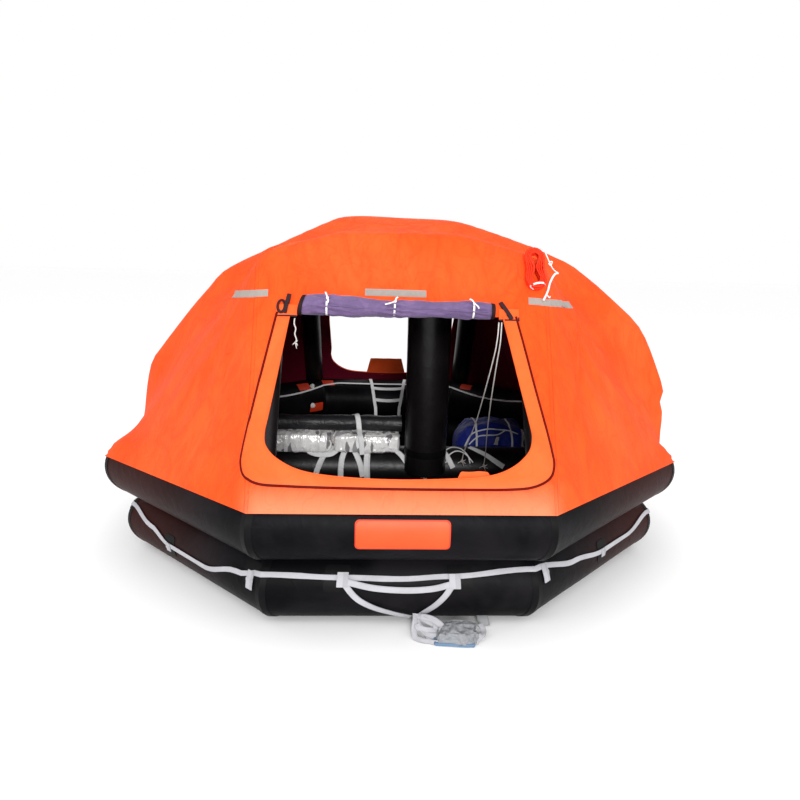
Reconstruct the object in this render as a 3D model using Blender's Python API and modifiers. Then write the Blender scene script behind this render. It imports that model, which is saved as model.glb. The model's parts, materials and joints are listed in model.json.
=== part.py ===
"""Self-righting inflatable life raft for fifteen people, standing on a floor with its canopy up.

Metres, +Z up. The origin is on the floor under the middle of the hull, the front door faces -Y.
"""
import math

import bmesh
import bpy
from mathutils import Matrix, Vector

# Driving sizes of the hull
GAP = 0.0003                      # running gap between pieces that touch
HULL_SIDES = 8
HULL_WIDTH = 3.24                 # across the flats of the upper tube
TUBE_RADIUS = 0.171
SECTION_SIDES = 22

# Sizes that follow from them
FACET = 2 * math.pi / SECTION_SIDES
MITRE = math.cos(math.pi / HULL_SIDES)
TUBE_FLAT = TUBE_RADIUS * math.cos(FACET / 2)
TUBE_PITCH = 2 * TUBE_FLAT + GAP
UPPER_APOTHEM = HULL_WIDTH / 2 - TUBE_RADIUS
LOWER_APOTHEM = UPPER_APOTHEM - TUBE_PITCH * math.sin(FACET)
LOWER_Z = TUBE_FLAT
UPPER_Z = LOWER_Z + TUBE_PITCH * math.cos(FACET)
HULL_TOP = UPPER_Z + TUBE_FLAT

# Floor and water pockets
FLOOR_LOW = 0.020
FLOOR_HIGH = 0.050
POCKET_SIZE = (0.62, 0.36, 0.0155)
POCKET_REACH = 0.72

# Thwart, column and what stands about them
THWART_RADIUS = 0.140
THWART_Z = 0.312
THWART_HALF = 1.300
COLUMN_RADIUS = 0.135
COLUMN_FOOT = Vector((0.215, -0.120, 0.300))
COLUMN_HEAD = Vector((0.208, -0.275, 1.780))

# Canopy: hem on the upper tube, two hoops and a lateral arch
WALL = 0.020                      # outer cover, air gap and lining together
HEM_LIFT = 0.010
HEM_ANGLE_ENDS = math.radians(30)
HEM_ANGLE_SIDES = math.radians(21)
HEM_RADIUS = TUBE_RADIUS + HEM_LIFT
HEM_Y = UPPER_APOTHEM + HEM_RADIUS * math.cos(HEM_ANGLE_ENDS)
HEM_Z = UPPER_Z + HEM_RADIUS * math.sin(HEM_ANGLE_ENDS)
SIDE_HEM_X = UPPER_APOTHEM + HEM_RADIUS * math.cos(HEM_ANGLE_SIDES)
SIDE_HEM_Z = UPPER_Z + HEM_RADIUS * math.sin(HEM_ANGLE_SIDES)
CREST_Z = 1.800
CREST_Y = 0.920
CREST_HALF = 0.280
SHOULDER_Z = 1.690
SHOULDER_HALF = 0.700
HOOP_RADIUS = 0.075
HOOP_LEG_X = 0.640
ARCH_RADIUS = 0.080
ARCH_BEHIND = 0.035               # how far the tube stands behind the ridge at its right leg
ARCH_SUNK = 0.004                 # how far a support presses into the wall that it carries
LEG_SUNK = 0.065                  # where a leg's centre line starts, under the top of the hull
ARCH_Y_LEFT = -0.050
ARCH_Y_RIGHT = -0.450
ARCH_LEFT = {0: (0.0, 1.925), 1: (-0.330, 1.935), 3: (-0.700, 1.768), 4: (-1.070, 1.600),
             6: (-1.570, 1.010), 7: (-SIDE_HEM_X, SIDE_HEM_Z)}
ARCH_RIGHT = {0: (0.0, 1.925), 1: (0.350, 1.913), 3: (0.700, 1.805), 4: (1.030, 1.690),
              5: (1.440, 1.330), 6: (1.585, 0.955), 7: (SIDE_HEM_X, SIDE_HEM_Z)}
CLOTH_COLUMNS = 14
CLOTH_ROWS = 16
HEM_SPARE = 0.006                 # how much further out the cloth stands between the hem's points
HEM_CUTS = 2                      # rows of points added by the hem, where the cloth lies on the tube
WALL_STATION = 3                  # sevenths of the half width that the end walls take
RELAX_STEPS = 120
FULLNESS = 0.0018                 # how much spare cloth each relaxing step lets out
ARCH_DROP = 0.048                 # air under the sharp ridge that the cloth makes over the arch

WALL_LEAN = (HEM_Y - CREST_Y) / (CREST_Z - HEM_Z)
WALL_TILT = math.atan2(1.0, WALL_LEAN)

# Door openings and their rolled curtains
DOOR_SILL_Z = 0.712
DOOR_HEAD_Z = 1.375
DOOR_HALF_FOOT = 0.600
DOOR_HALF_HEAD = 0.500
DOOR_CORNER = 0.170
ROLL_RADIUS = 0.050
ROLL_HALF = 0.450
SEAM_BEAD = 0.006
SEAM_Z = 1.388
ROLL_ABOVE_SEAM = 0.048

# Webbing, pads and equipment
SIGN_WIDTH = 0.410
TOW_PAD_X = 0.420
TOW_PAD_WIDTH = 0.180
TOW_PAD_RISE = 0.012
CYLINDER_RADIUS = 0.075
CYLINDER_LENGTH = 0.640
HEAP_X = 0.190
HEAP_WIDTH = 0.280
HEAP_DEPTH = 0.150
HEAP_HEIGHT = 0.088
PACK_SIZE = Vector((0.900, 0.270, 0.160))
PACK_PLACE = Vector((-0.400, 0.000, 0.512))
BAG_SIZE = Vector((0.500, 0.320, 0.530))
BAG_PLACE = Vector((0.720, 0.320, 0.0))
LADDER_LIFT = 0.0047               # webbing legs pass over the inner lifeline
LOOP_X = 0.525
LOOP_Z = 1.425
HANK_X = 0.672
HANK_Z = 1.590
HANK_DEPTH = 0.050
CORD_RADIUS = 0.004
CORD_TOP = DOOR_HEAD_Z - GAP
DOOR_CORD_LEFT = [(0.472, -1.148, CORD_TOP), (0.472, -1.148, 1.350), (0.470, -1.130, 1.285),
                  (0.462, -1.073, 1.193), (0.452, -0.889, 0.996), (0.462, -0.581, 0.753),
                  (0.458, -0.240, 0.500), (0.455, -0.158, 0.400)]
DOOR_CORD_RIGHT = [(0.486, -1.149, CORD_TOP), (0.486, -1.149, 1.350), (0.485, -1.132, 1.270),
                   (0.482, -1.060, 1.160), (0.490, -0.880, 0.960), (0.525, -0.570, 0.710),
                   (0.560, -0.245, 0.470), (0.566, -0.162, 0.370)]
DOOR_TIE = [(-0.484, -1.148, CORD_TOP), (-0.484, -1.148, 1.345), (-0.483, -1.145, 1.310),
            (-0.481, -1.142, 1.270)]

BLACK = (0.012, 0.011, 0.012)
ORANGE = (1.0, 0.17, 0.05)
PURPLE = (0.21, 0.14, 0.38)
WHITE = (0.78, 0.78, 0.80)
SILVER = (0.72, 0.72, 0.74)
BLUE = (0.01, 0.03, 0.16)
STEEL_GREY = (0.30, 0.31, 0.33)
ROPE_RED = (1.0, 0.09, 0.03)


def clear_scene():
    """Take away what a new file holds."""
    for item in list(bpy.data.objects):
        bpy.data.objects.remove(item, do_unlink=True)


def new_collection(name):
    """A collection under the scene's own."""
    group = bpy.data.collections.new(name)
    bpy.context.scene.collection.children.link(group)
    return group


def make_material(name, color, roughness, metallic=0.0):
    """A plain finish."""
    finish = bpy.data.materials.new(name)
    finish.use_nodes = True
    shader = finish.node_tree.nodes["Principled BSDF"]
    shader.inputs["Base Color"].default_value = (*color, 1.0)
    shader.inputs["Roughness"].default_value = roughness
    shader.inputs["Metallic"].default_value = metallic
    return finish


clear_scene()
RAFT = new_collection("life_raft")
CUTTERS = new_collection("cutters")
RUBBER = make_material("tube_rubber", BLACK, 0.42)
CANOPY = make_material("canopy_cloth", ORANGE, 0.62)
CURTAIN = make_material("curtain_cloth", PURPLE, 0.75)
WEBBING = make_material("white_webbing", WHITE, 0.8)
STRAPPING = make_material("black_webbing", BLACK, 0.8)
FOIL = make_material("foil", SILVER, 0.25, 1.0)
BAG_CLOTH = make_material("blue_cloth", BLUE, 0.7)
CYLINDER_PAINT = make_material("cylinder_paint", STEEL_GREY, 0.4, 0.6)
ROPE = make_material("orange_rope", ROPE_RED, 0.7)
SIGN = make_material("sign_patch", ORANGE, 0.5)
PLASTIC = make_material("valve_plastic", WHITE, 0.4)


def add_object(name, mesh, finish=None, group=None):
    """An object of the raft, or a cutter where no finish is given."""
    item = bpy.data.objects.new(name, mesh)
    if finish is None:
        CUTTERS.objects.link(item)
        item.hide_render = True
        item.display_type = "WIRE"
    else:
        (group or RAFT).objects.link(item)
        mesh.materials.append(finish)
    return item


def from_bmesh(name, shape, finish=None, smooth=math.radians(30)):
    """Close a bmesh into an object, its faces pointing out."""
    bmesh.ops.recalc_face_normals(shape, faces=shape.faces)
    mesh = bpy.data.meshes.new(name)
    shape.to_mesh(mesh)
    shape.free()
    mesh.shade_smooth()
    mesh.set_sharp_from_angle(angle=smooth)
    return add_object(name, mesh, finish)


def cut(item, *cutters):
    """Cut an object by each cutter."""
    for cutter in cutters:
        tool = item.modifiers.new("cut_" + cutter.name, "BOOLEAN")
        tool.operation = "DIFFERENCE"
        tool.solver = "EXACT"
        tool.object = cutter


def join(item, *others):
    """Unite an object with others, which are kept as cutters."""
    for other in others:
        tool = item.modifiers.new("join_" + other.name, "BOOLEAN")
        tool.operation = "UNION"
        tool.solver = "EXACT"
        tool.object = other


def curve_to_mesh(item, finish=None):
    """Make a curve object a mesh object whose caps are welded."""
    depsgraph = bpy.context.evaluated_depsgraph_get()
    mesh = bpy.data.meshes.new_from_object(item.evaluated_get(depsgraph))
    shape = bmesh.new()
    shape.from_mesh(mesh)
    bmesh.ops.remove_doubles(shape, verts=shape.verts, dist=0.00001)
    bmesh.ops.triangulate(shape, faces=shape.faces, quad_method="FIXED")
    name = item.name
    place = item.matrix_world.copy()
    bpy.data.objects.remove(item, do_unlink=True)
    bpy.data.meshes.remove(mesh)
    solid = from_bmesh(name, shape, finish)
    solid.matrix_world = place
    return solid


def tube(name, points, radius, finish, resolution=4):
    """A round tube along points, as a curve object."""
    curve = bpy.data.curves.new(name, "CURVE")
    curve.dimensions = "3D"
    curve.bevel_depth = radius
    curve.bevel_resolution = resolution
    curve.use_fill_caps = True
    spline = curve.splines.new("POLY")
    spline.points.add(len(points) - 1)
    for slot, point in zip(spline.points, points):
        slot.co = (*point, 1.0)
    return add_object(name, curve, finish)


def rounded(points, radius, steps=4):
    """A path with each inner corner turned on an arc-like bend."""
    path = [Vector(points[0])]
    for before, here, after in zip(points, points[1:], points[2:]):
        here = Vector(here)
        back = (Vector(before) - here).normalized()
        ahead = (Vector(after) - here).normalized()
        turn = math.pi - back.angle(ahead)
        reach = radius * math.tan(turn / 2)
        start = here + back * reach
        end = here + ahead * reach
        for k in range(steps + 1):
            t = k / steps
            path.append(start * (1 - t) ** 2 + here * (2 * t * (1 - t)) + end * t ** 2)
    path.append(Vector(points[-1]))
    return path


def smooth_path(points, count):
    """A smooth curve through the points, sampled count times in each span."""
    spots = [Vector(p) for p in points]
    spots = [spots[0] * 2 - spots[1], *spots, spots[-1] * 2 - spots[-2]]
    path = []
    for a, b, c, d in zip(spots, spots[1:], spots[2:], spots[3:]):
        for k in range(count):
            t = k / count
            path.append(0.5 * (2 * b + (c - a) * t + (2 * a - 5 * b + 4 * c - d) * t ** 2
                               + (3 * b - a - 3 * c + d) * t ** 3))
    path.append(spots[-2])
    return path


def section_radius(angle):
    """Distance from a hull tube's centre line to its faceted face, angle 0 outwards, 90 up."""
    offset = (angle - math.pi / 2 + FACET / 2) % FACET - FACET / 2
    return TUBE_FLAT / math.cos(offset)


def section_point(angle, lift, apothem, height):
    """A point over a hull tube's face, as its distance from the middle and its height."""
    reach = section_radius(angle) + lift
    return apothem + reach * math.cos(angle), height + reach * math.sin(angle)


def hull_ring(name, profile, finish=None):
    """A closed profile of (distance, height) carried round the eight sides with mitred corners."""
    mesh = bpy.data.meshes.new(name)
    turn = math.pi / HULL_SIDES
    points = [(d / MITRE * math.cos(turn), d / MITRE * math.sin(turn), z) for d, z in profile]
    edges = [(k, (k + 1) % len(points)) for k in range(len(points))]
    mesh.from_pydata(points, edges, [])
    item = add_object(name, mesh, finish)
    screw = item.modifiers.new("ring", "SCREW")
    screw.axis = "Z"
    screw.angle = 2 * math.pi
    screw.steps = screw.render_steps = HULL_SIDES
    screw.use_smooth_shade = False
    screw.merge_threshold = 0.0001
    return item


def tube_profile(apothem, height, lift=0.0):
    """The round section of a hull tube, running down its outer side."""
    angles = [math.pi / 2 + FACET / 2 - FACET * k for k in range(SECTION_SIDES)]
    grown = TUBE_RADIUS + lift / math.cos(FACET / 2)
    return [(apothem + grown * math.cos(a), height + grown * math.sin(a)) for a in angles]


def facet_strip(apothem, height, facet, width, thickness):
    """A flat strip's section on one facet of a hull tube, facet counted from the top one outwards."""
    angle = math.pi / 2 - FACET * facet
    normal = Vector((math.cos(angle), math.sin(angle)))
    along = Vector((normal.y, -normal.x))
    foot = Vector((apothem, height)) + normal * (TUBE_FLAT + GAP)
    half = along * (width / 2)
    rise = normal * thickness
    return [tuple(p) for p in (foot - half + rise, foot + half + rise, foot + half, foot - half)]


def side_frame(side, apothem, height, facet, along=0.0, lift=GAP):
    """A frame on a facet of a hull tube: X along the tube, Z out of the face. Side 0 is the front."""
    angle = math.pi / 2 - FACET * facet
    heading = Matrix.Rotation(2 * math.pi * side / HULL_SIDES, 4, "Z")
    out = Vector((0, -math.cos(angle), math.sin(angle)))
    reach = TUBE_FLAT + lift
    place = Vector((along, -apothem, height)) + out * reach
    across = Vector((1, 0, 0))
    up = out.cross(across)
    turn = Matrix((across, up, out)).transposed().to_4x4()
    return heading @ Matrix.Translation(place) @ turn


def box_solid(name, size, finish, bevel=0.0, segments=2):
    """A box about its own middle, with its edges rounded."""
    shape = bmesh.new()
    bmesh.ops.create_cube(shape, size=1.0)
    bmesh.ops.scale(shape, vec=size, verts=shape.verts)
    if bevel:
        bmesh.ops.bevel(shape, geom=shape.edges[:], offset=bevel, segments=segments,
                        affect="EDGES", profile=0.5, material=-1)
    return from_bmesh(name, shape, finish)


def cylinder_solid(name, radius, length, finish, sides=24, bevel=0.0, segments=2):
    """A cylinder about its own middle, along Z, with its rims rounded."""
    shape = bmesh.new()
    bmesh.ops.create_cone(shape, cap_ends=True, segments=sides, radius1=radius, radius2=radius,
                          depth=length)
    if bevel:
        rims = [e for e in shape.edges if abs(e.verts[0].co.z - e.verts[1].co.z) < GAP]
        bmesh.ops.bevel(shape, geom=rims, offset=bevel, segments=segments,
                        affect="EDGES", profile=0.5, material=-1)
    return from_bmesh(name, shape, finish)


def extruded(name, outline, depth, finish):
    """A flat outline in XY given thickness along Z, centred."""
    shape = bmesh.new()
    corners = [shape.verts.new((x, y, -depth / 2)) for x, y in outline]
    face = shape.faces.new(corners)
    grown = bmesh.ops.extrude_face_region(shape, geom=[face])
    moved = [v for v in grown["geom"] if isinstance(v, bmesh.types.BMVert)]
    bmesh.ops.translate(shape, vec=(0, 0, depth), verts=moved)
    if len(shape.faces) == len(outline) + 1:
        shape.faces.new(corners)
    return from_bmesh(name, shape, finish)


def ribbon(name, stations, width, thickness, finish):
    """A flat strap through stations of (point, outward direction)."""
    shape = bmesh.new()
    rings = []
    for k, (point, out) in enumerate(stations):
        before = Vector(stations[max(k - 1, 0)][0])
        after = Vector(stations[min(k + 1, len(stations) - 1)][0])
        out = Vector(out).normalized()
        across = out.cross(after - before).normalized() * (width / 2)
        rise = out * thickness
        base = Vector(point)
        corners = (base - across, base + across, base + across + rise, base - across + rise)
        rings.append([shape.verts.new(c) for c in corners])
    for one, two in zip(rings, rings[1:]):
        for k in range(4):
            shape.faces.new((one[k], one[(k + 1) % 4], two[(k + 1) % 4], two[k]))
    shape.faces.new(rings[0])
    shape.faces.new(rings[-1])
    return from_bmesh(name, shape, finish)


def between_stations(table, station):
    """A point of a table of (x, z), linear between its keys."""
    keys = sorted(table)
    for low, high in zip(keys, keys[1:]):
        if station <= high:
            t = (station - low) / (high - low)
            return tuple(a * (1 - t) + b * t for a, b in zip(table[low], table[high]))
    return table[keys[-1]]


def arch_y(x):
    """The arch leans towards the front door on its right."""
    t = (x + SIDE_HEM_X) / (2 * SIDE_HEM_X)
    return ARCH_Y_LEFT * (1 - t) + ARCH_Y_RIGHT * t


def wall_y(z):
    """The front wall's outer face, which is one plane from hem to crest."""
    return -HEM_Y + (z - HEM_Z) * WALL_LEAN


def hem_point(u, end):
    """The hem along an end wall and the two diagonals beside it; end is -1 in front."""
    corner = HEM_Y * math.tan(math.pi / HULL_SIDES)
    split = WALL_STATION / 7
    side = math.copysign(1.0, u)
    if abs(u) <= split:
        return Vector((u / split * corner, end * HEM_Y, HEM_Z))
    t = (abs(u) - split) / (1 - split)
    near = Vector((side * corner, end * HEM_Y, HEM_Z))
    far = Vector((side * SIDE_HEM_X, end * SIDE_HEM_X * math.tan(math.pi / HULL_SIDES), SIDE_HEM_Z))
    return near.lerp(far, t)


def hoop_point(u, end):
    """The cloth over a hoop, and past its leg a first guess that relaxing then corrects."""
    split = WALL_STATION / 7
    side = math.copysign(1.0, u)
    crest_share = CREST_HALF / SHOULDER_HALF * split
    if abs(u) <= crest_share:
        return Vector((u / crest_share * CREST_HALF, end * CREST_Y, CREST_Z))
    shoulder = Vector((side * SHOULDER_HALF, -end * wall_y(SHOULDER_Z), SHOULDER_Z))
    if abs(u) <= split:
        t = (abs(u) - crest_share) / (split - crest_share)
        return Vector((side * CREST_HALF, end * CREST_Y, CREST_Z)).lerp(shoulder, t)
    t = (abs(u) - split) / (1 - split)
    arch_foot = Vector((side * SIDE_HEM_X, arch_y(side * SIDE_HEM_X), SIDE_HEM_Z))
    side_hem = arch_foot.lerp(hem_point(side, end), 0.5)
    return shoulder.lerp(side_hem, t)


def arch_point(u):
    """The cloth over the arch."""
    x, z = between_stations(ARCH_RIGHT if u > 0 else ARCH_LEFT, abs(u) * 7)
    return Vector((x, arch_y(x), z))


def cloth_point(u, v):
    """Where a point of the flat cloth lies before it relaxes: u across, v from front to rear."""
    end = math.copysign(1.0, v)
    if abs(v) >= 0.5:
        return hoop_point(u, end).lerp(hem_point(u, end), (abs(v) - 0.5) * 2)
    return arch_point(u).lerp(hoop_point(u, end), abs(v) * 2)


def is_held(u, v):
    """Whether the hem, a hoop or the arch holds this point of the cloth."""
    split = WALL_STATION / 7
    near = 0.001
    on_hem = abs(u) > 1 - near or abs(v) > 1 - near
    on_arch = abs(v) < near
    on_hoop = abs(abs(v) - 0.5) < near and abs(u) < split + near
    on_leg = abs(abs(u) - split) < near and abs(v) > 0.5 - near
    return on_hem or on_arch or on_hoop or on_leg


def clear_of_tube(point, spare=0.0):
    """A point of the cloth, kept on or outside the upper tube, with a little to spare between points."""
    headings = [2 * math.pi * k / HULL_SIDES for k in range(HULL_SIDES)]
    ways = [Vector((math.cos(a), math.sin(a))) for a in headings]
    way = max(ways, key=lambda w: w.dot(point.xy))
    out = Vector((way.dot(point.xy) - UPPER_APOTHEM, point.z - UPPER_Z))
    if out.length >= HEM_RADIUS + spare:
        return point
    lifted = out.normalized() * (HEM_RADIUS + spare)
    spread = way * (lifted.x - out.x)
    return Vector((point.x + spread.x, point.y + spread.y, UPPER_Z + lifted.y))


def fold_outwards(shape):
    """Split each quad of the cloth along the diagonal that stands further out."""
    for face in [f for f in shape.faces if len(f.verts) == 4]:
        a, b, c, d = face.verts
        if (a.co + c.co - b.co - d.co).dot(face.normal) > 0:
            bmesh.utils.face_split(face, a, c)
        else:
            bmesh.utils.face_split(face, b, d)


def canopy_sheet():
    """The cloth as an open sheet, with each point's own way inwards kept in a layer."""
    shape = bmesh.new()
    bmesh.ops.create_grid(shape, x_segments=CLOTH_COLUMNS, y_segments=CLOTH_ROWS, size=1.0)
    inward = shape.verts.layers.float_vector.new("inward")
    flat = shape.verts.layers.float_vector.new("flat")
    station = shape.faces.layers.float_vector.new("station")
    free = []
    for point in shape.verts:
        u, v = point.co.x, point.co.y
        point[flat] = (u, v, 0)
        point.co = cloth_point(u, v)
        if not is_held(u, v):
            free.append(point)
    shape.normal_update()
    middle = min(shape.faces, key=lambda f: f.calc_center_median().xy.length)
    if middle.normal.z < 0:
        bmesh.ops.reverse_faces(shape, faces=shape.faces)
    for _ in range(RELAX_STEPS):
        bmesh.ops.smooth_vert(shape, verts=free, factor=0.5, use_axis_x=True, use_axis_y=True,
                              use_axis_z=True)
        shape.normal_update()
        for point in free:
            if abs(point[flat].x) > WALL_STATION / 7:
                point.co += point.normal * FULLNESS
            point.co = clear_of_tube(point.co)
    for face in shape.faces:
        face[station] = sum((p[flat] for p in face.verts), Vector()) / len(face.verts)
    from_hem = [e for e in shape.edges if e.verts[0].is_boundary != e.verts[1].is_boundary]
    bmesh.ops.subdivide_edges(shape, edges=from_hem, cuts=HEM_CUTS, use_grid_fill=True,
                              quad_corner_type="INNER_VERT")
    for point in shape.verts:
        if not point.is_boundary:
            point.co = clear_of_tube(point.co, HEM_SPARE)
    shape.normal_update()
    fold_outwards(shape)
    shape.normal_update()
    for point in shape.verts:
        point[inward] = -point.normal
    return shape, inward, station


def canopy_panel(name, belongs):
    """One panel of the canopy: the faces that belong to it, thickened inwards."""
    shape, inward, station = canopy_sheet()
    others = [f for f in shape.faces if not belongs(f[station].x, f[station].y)]
    bmesh.ops.delete(shape, geom=others, context="FACES")
    grown = bmesh.ops.extrude_face_region(shape, geom=shape.faces[:], use_keep_orig=True)
    for point in grown["geom"]:
        if isinstance(point, bmesh.types.BMVert):
            point.co += Vector(point[inward]) * WALL
    bmesh.ops.triangulate(shape, faces=shape.faces, quad_method="SHORT_EDGE")
    middle = sum((p.co for p in shape.verts), Vector()) / len(shape.verts)
    shrink = 1 - GAP
    for point in shape.verts:
        point.co = middle + (point.co - middle) * shrink
    return from_bmesh(name, shape, CANOPY)


def in_plane_inset(points, distance):
    """A path in the XZ plane moved inwards, to its right as it runs, by a distance."""
    moved = []
    for k, (x, z) in enumerate(points):
        here = Vector((x, z))
        ways = []
        if k:
            ways.append((here - Vector(points[k - 1])).normalized())
        if k < len(points) - 1:
            ways.append((Vector(points[k + 1]) - here).normalized())
        normals = [Vector((w.y, -w.x)) for w in ways]
        mid = sum(normals, Vector((0, 0))).normalized()
        moved.append(here + mid * (distance / mid.dot(normals[0])))
    return moved


# Hull
upper_cutter = hull_ring("upper_tube_cutter", tube_profile(UPPER_APOTHEM, UPPER_Z, GAP))
lower_cutter = hull_ring("lower_tube_cutter", tube_profile(LOWER_APOTHEM, LOWER_Z, GAP))
hull_ring("upper_tube", tube_profile(UPPER_APOTHEM, UPPER_Z), RUBBER)
hull_ring("lower_tube", tube_profile(LOWER_APOTHEM, LOWER_Z), RUBBER)


def make_floor():
    """The floor, sealed to the lower tube all round."""
    item = cylinder_solid("floor", LOWER_APOTHEM / MITRE, FLOOR_HIGH - FLOOR_LOW, RUBBER, HULL_SIDES)
    item.rotation_euler.z = math.pi / HULL_SIDES
    item.location.z = (FLOOR_LOW + FLOOR_HIGH) / 2
    cut(item, lower_cutter)


def make_water_pockets():
    """Four weighted bags that hang under the raft afloat and lie flat beneath it on a floor."""
    for k in range(4):
        item = box_solid(f"water_pocket_{k + 1}", POCKET_SIZE, STRAPPING, 0.004, 1)
        heading = math.pi / 4 + k * math.pi / 2
        item.rotation_euler.z = heading + math.pi / 2
        low = FLOOR_LOW - GAP - POCKET_SIZE[2] / 2
        item.location = (POCKET_REACH * math.cos(heading), POCKET_REACH * math.sin(heading), low)


def round_beam(name, start, end, radius, finish, sides=24):
    """A cylinder from one point to another."""
    item = cylinder_solid(name, radius, (end - start).length, finish, sides)
    item.matrix_world = (Matrix.Translation((start + end) / 2)
                         @ (end - start).to_track_quat("Z", "Y").to_matrix().to_4x4())
    return item


def make_thwart_and_column():
    """The inflated seat across the cabin and the column that rises from it to the arch."""
    left = Vector((-THWART_HALF, 0, THWART_Z))
    right = Vector((THWART_HALF, 0, THWART_Z))
    thwart = round_beam("thwart", left, right, THWART_RADIUS, RUBBER)
    cut(thwart, upper_cutter, lower_cutter)
    thwart_cutter = round_beam("thwart_cutter", left, right, THWART_RADIUS + GAP, None)
    column = round_beam("column", COLUMN_FOOT, COLUMN_HEAD, COLUMN_RADIUS, RUBBER)
    cut(column, thwart_cutter)
    return column, thwart_cutter


def arch_path():
    """Centre line of the arch, inside the cloth that it carries."""
    outer = [between_stations(ARCH_LEFT, k) for k in (6.6, 6, 4, 1)]
    outer += [between_stations(ARCH_RIGHT, k) for k in (1, 4, 5, 6, 6.6)]
    inner = in_plane_inset(outer, WALL + ARCH_RADIUS - ARCH_SUNK + ARCH_DROP)
    foot = HULL_TOP - LEG_SUNK
    feet = [(inner[0].x, foot), *inner, (inner[-1].x, foot)]
    behind = ARCH_BEHIND / (2 * SIDE_HEM_X)
    return rounded([(x, arch_y(x) + behind * (x + SIDE_HEM_X), z) for x, z in feet], 0.16, 2)


def hoop_path(end):
    """Centre line of a hoop: two leaning legs and a shallow crown."""
    inset = HOOP_RADIUS + WALL - ARCH_SUNK
    back = inset / math.sin(WALL_TILT)

    def spot(x, z):
        return (x, -end * (wall_y(z) + back), z)

    crown = CREST_Z - 0.096
    knee = SHOULDER_Z - 0.080
    foot = HULL_TOP - LEG_SUNK
    legs = [spot(-HOOP_LEG_X, foot), spot(-HOOP_LEG_X, knee)]
    top = [spot(-CREST_HALF, crown), spot(CREST_HALF, crown)]
    return rounded([*legs, *top, spot(HOOP_LEG_X, knee), spot(HOOP_LEG_X, foot)], 0.12, 3)


def make_support(name, path, radius):
    """An inflated support standing on the upper tube, and the cutter that clears it."""
    item = curve_to_mesh(tube(name, path, radius, RUBBER, 4), RUBBER)
    cut(item, upper_cutter)
    low_start = path[0] + (path[0] - path[1]).normalized() * GAP
    low_end = path[-1] + (path[-1] - path[-2]).normalized() * GAP
    longer = [low_start, *path[1:-1], low_end]
    cutter = curve_to_mesh(tube(name + "_cutter", longer, radius + GAP, None, 4))
    return item, cutter


def door_outline():
    """Corners of the door opening in XZ, its two lower corners turned on arcs."""
    corners = [(-DOOR_HALF_HEAD, 0, DOOR_HEAD_Z), (-DOOR_HALF_FOOT, 0, DOOR_SILL_Z),
               (DOOR_HALF_FOOT, 0, DOOR_SILL_Z), (DOOR_HALF_HEAD, 0, DOOR_HEAD_Z)]
    return [(p.x, p.z) for p in rounded(corners, DOOR_CORNER, 5)]


def make_canopy(supports):
    """Five panels that meet at the sewn seams."""
    split = WALL_STATION / 7
    panels = {
        "canopy_front": lambda u, v: abs(u) < split and v < -0.5,
        "canopy_rear": lambda u, v: abs(u) < split and v > 0.5,
        "canopy_roof": lambda u, v: abs(u) < split and abs(v) < 0.5,
        "canopy_left": lambda u, v: u < -split,
        "canopy_right": lambda u, v: u > split,
    }
    cutter = extruded("door_cutter", door_outline(), 2 * HULL_WIDTH, None)
    cutter.rotation_euler.x = math.pi / 2
    for name, belongs in panels.items():
        panel = canopy_panel(name, belongs)
        if name in ("canopy_front", "canopy_rear"):
            cut(panel, cutter)
        if name != "canopy_roof":
            cut(panel, upper_cutter)
        cut(panel, *supports)


def wall_frame(z, x=0.0, lift=0.0, end=-1):
    """A frame on an end wall: X along it, Y up its slope, Z out of it."""
    out = Vector((0, -math.sin(WALL_TILT), math.cos(WALL_TILT)))
    spot = Vector((x, wall_y(z), z)) + out * lift
    heading = Matrix.Rotation(0.0 if end < 0 else math.pi, 4, "Z")
    return heading @ Matrix.Translation(spot) @ Matrix.Rotation(WALL_TILT, 4, "X")


def make_door_roll(name, end):
    """The curtain rolled up over its door, hung from a beaded seam that it swings on."""
    roll = cylinder_solid(name, ROLL_RADIUS, 2 * ROLL_HALF, CURTAIN, 16, 0.012, 2)
    roll.data.transform(Matrix.Rotation(math.pi / 2, 4, "Y"))
    centre = Vector((0, ROLL_ABOVE_SEAM, ROLL_RADIUS - SEAM_BEAD))
    roll.data.transform(Matrix.Translation(centre))
    roll.matrix_world = wall_frame(SEAM_Z, 0.0, SEAM_BEAD + GAP, end)
    neck = box_solid(name + "_neck", (2 * ROLL_HALF - 0.04, ROLL_ABOVE_SEAM, 0.005), None)
    neck.data.transform(Matrix.Translation((0, ROLL_ABOVE_SEAM / 2, 0)))
    neck.matrix_world = roll.matrix_world
    bead = cylinder_solid(name + "_bead", SEAM_BEAD, 2 * ROLL_HALF - 0.02, None, 10)
    bead.data.transform(Matrix.Rotation(math.pi / 2, 4, "Y"))
    bead.matrix_world = roll.matrix_world
    join(roll, neck, bead)


def hugging_path(apothem, height, stations, lift=0.004, rear=False):
    """Stations of (x, angle) on a hull tube's face as (point, outward) pairs, front or rear side."""
    way = 1 if rear else -1
    path = []
    for x, degrees in stations:
        angle = math.radians(degrees)
        distance, z = section_point(angle, lift, apothem, height)
        path.append((Vector((x, way * distance, z)), Vector((0, way * math.cos(angle), math.sin(angle)))))
    return path


def make_lifelines():
    """The webbing lines round the hull, outside and inside."""
    outer = facet_strip(LOWER_APOTHEM, LOWER_Z, 3, 0.040, 0.004)
    hull_ring("outer_lifeline", outer, WEBBING)
    inner = facet_strip(UPPER_APOTHEM, UPPER_Z, -3, 0.030, 0.004)
    hull_ring("inner_lifeline", inner, WEBBING)


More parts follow.
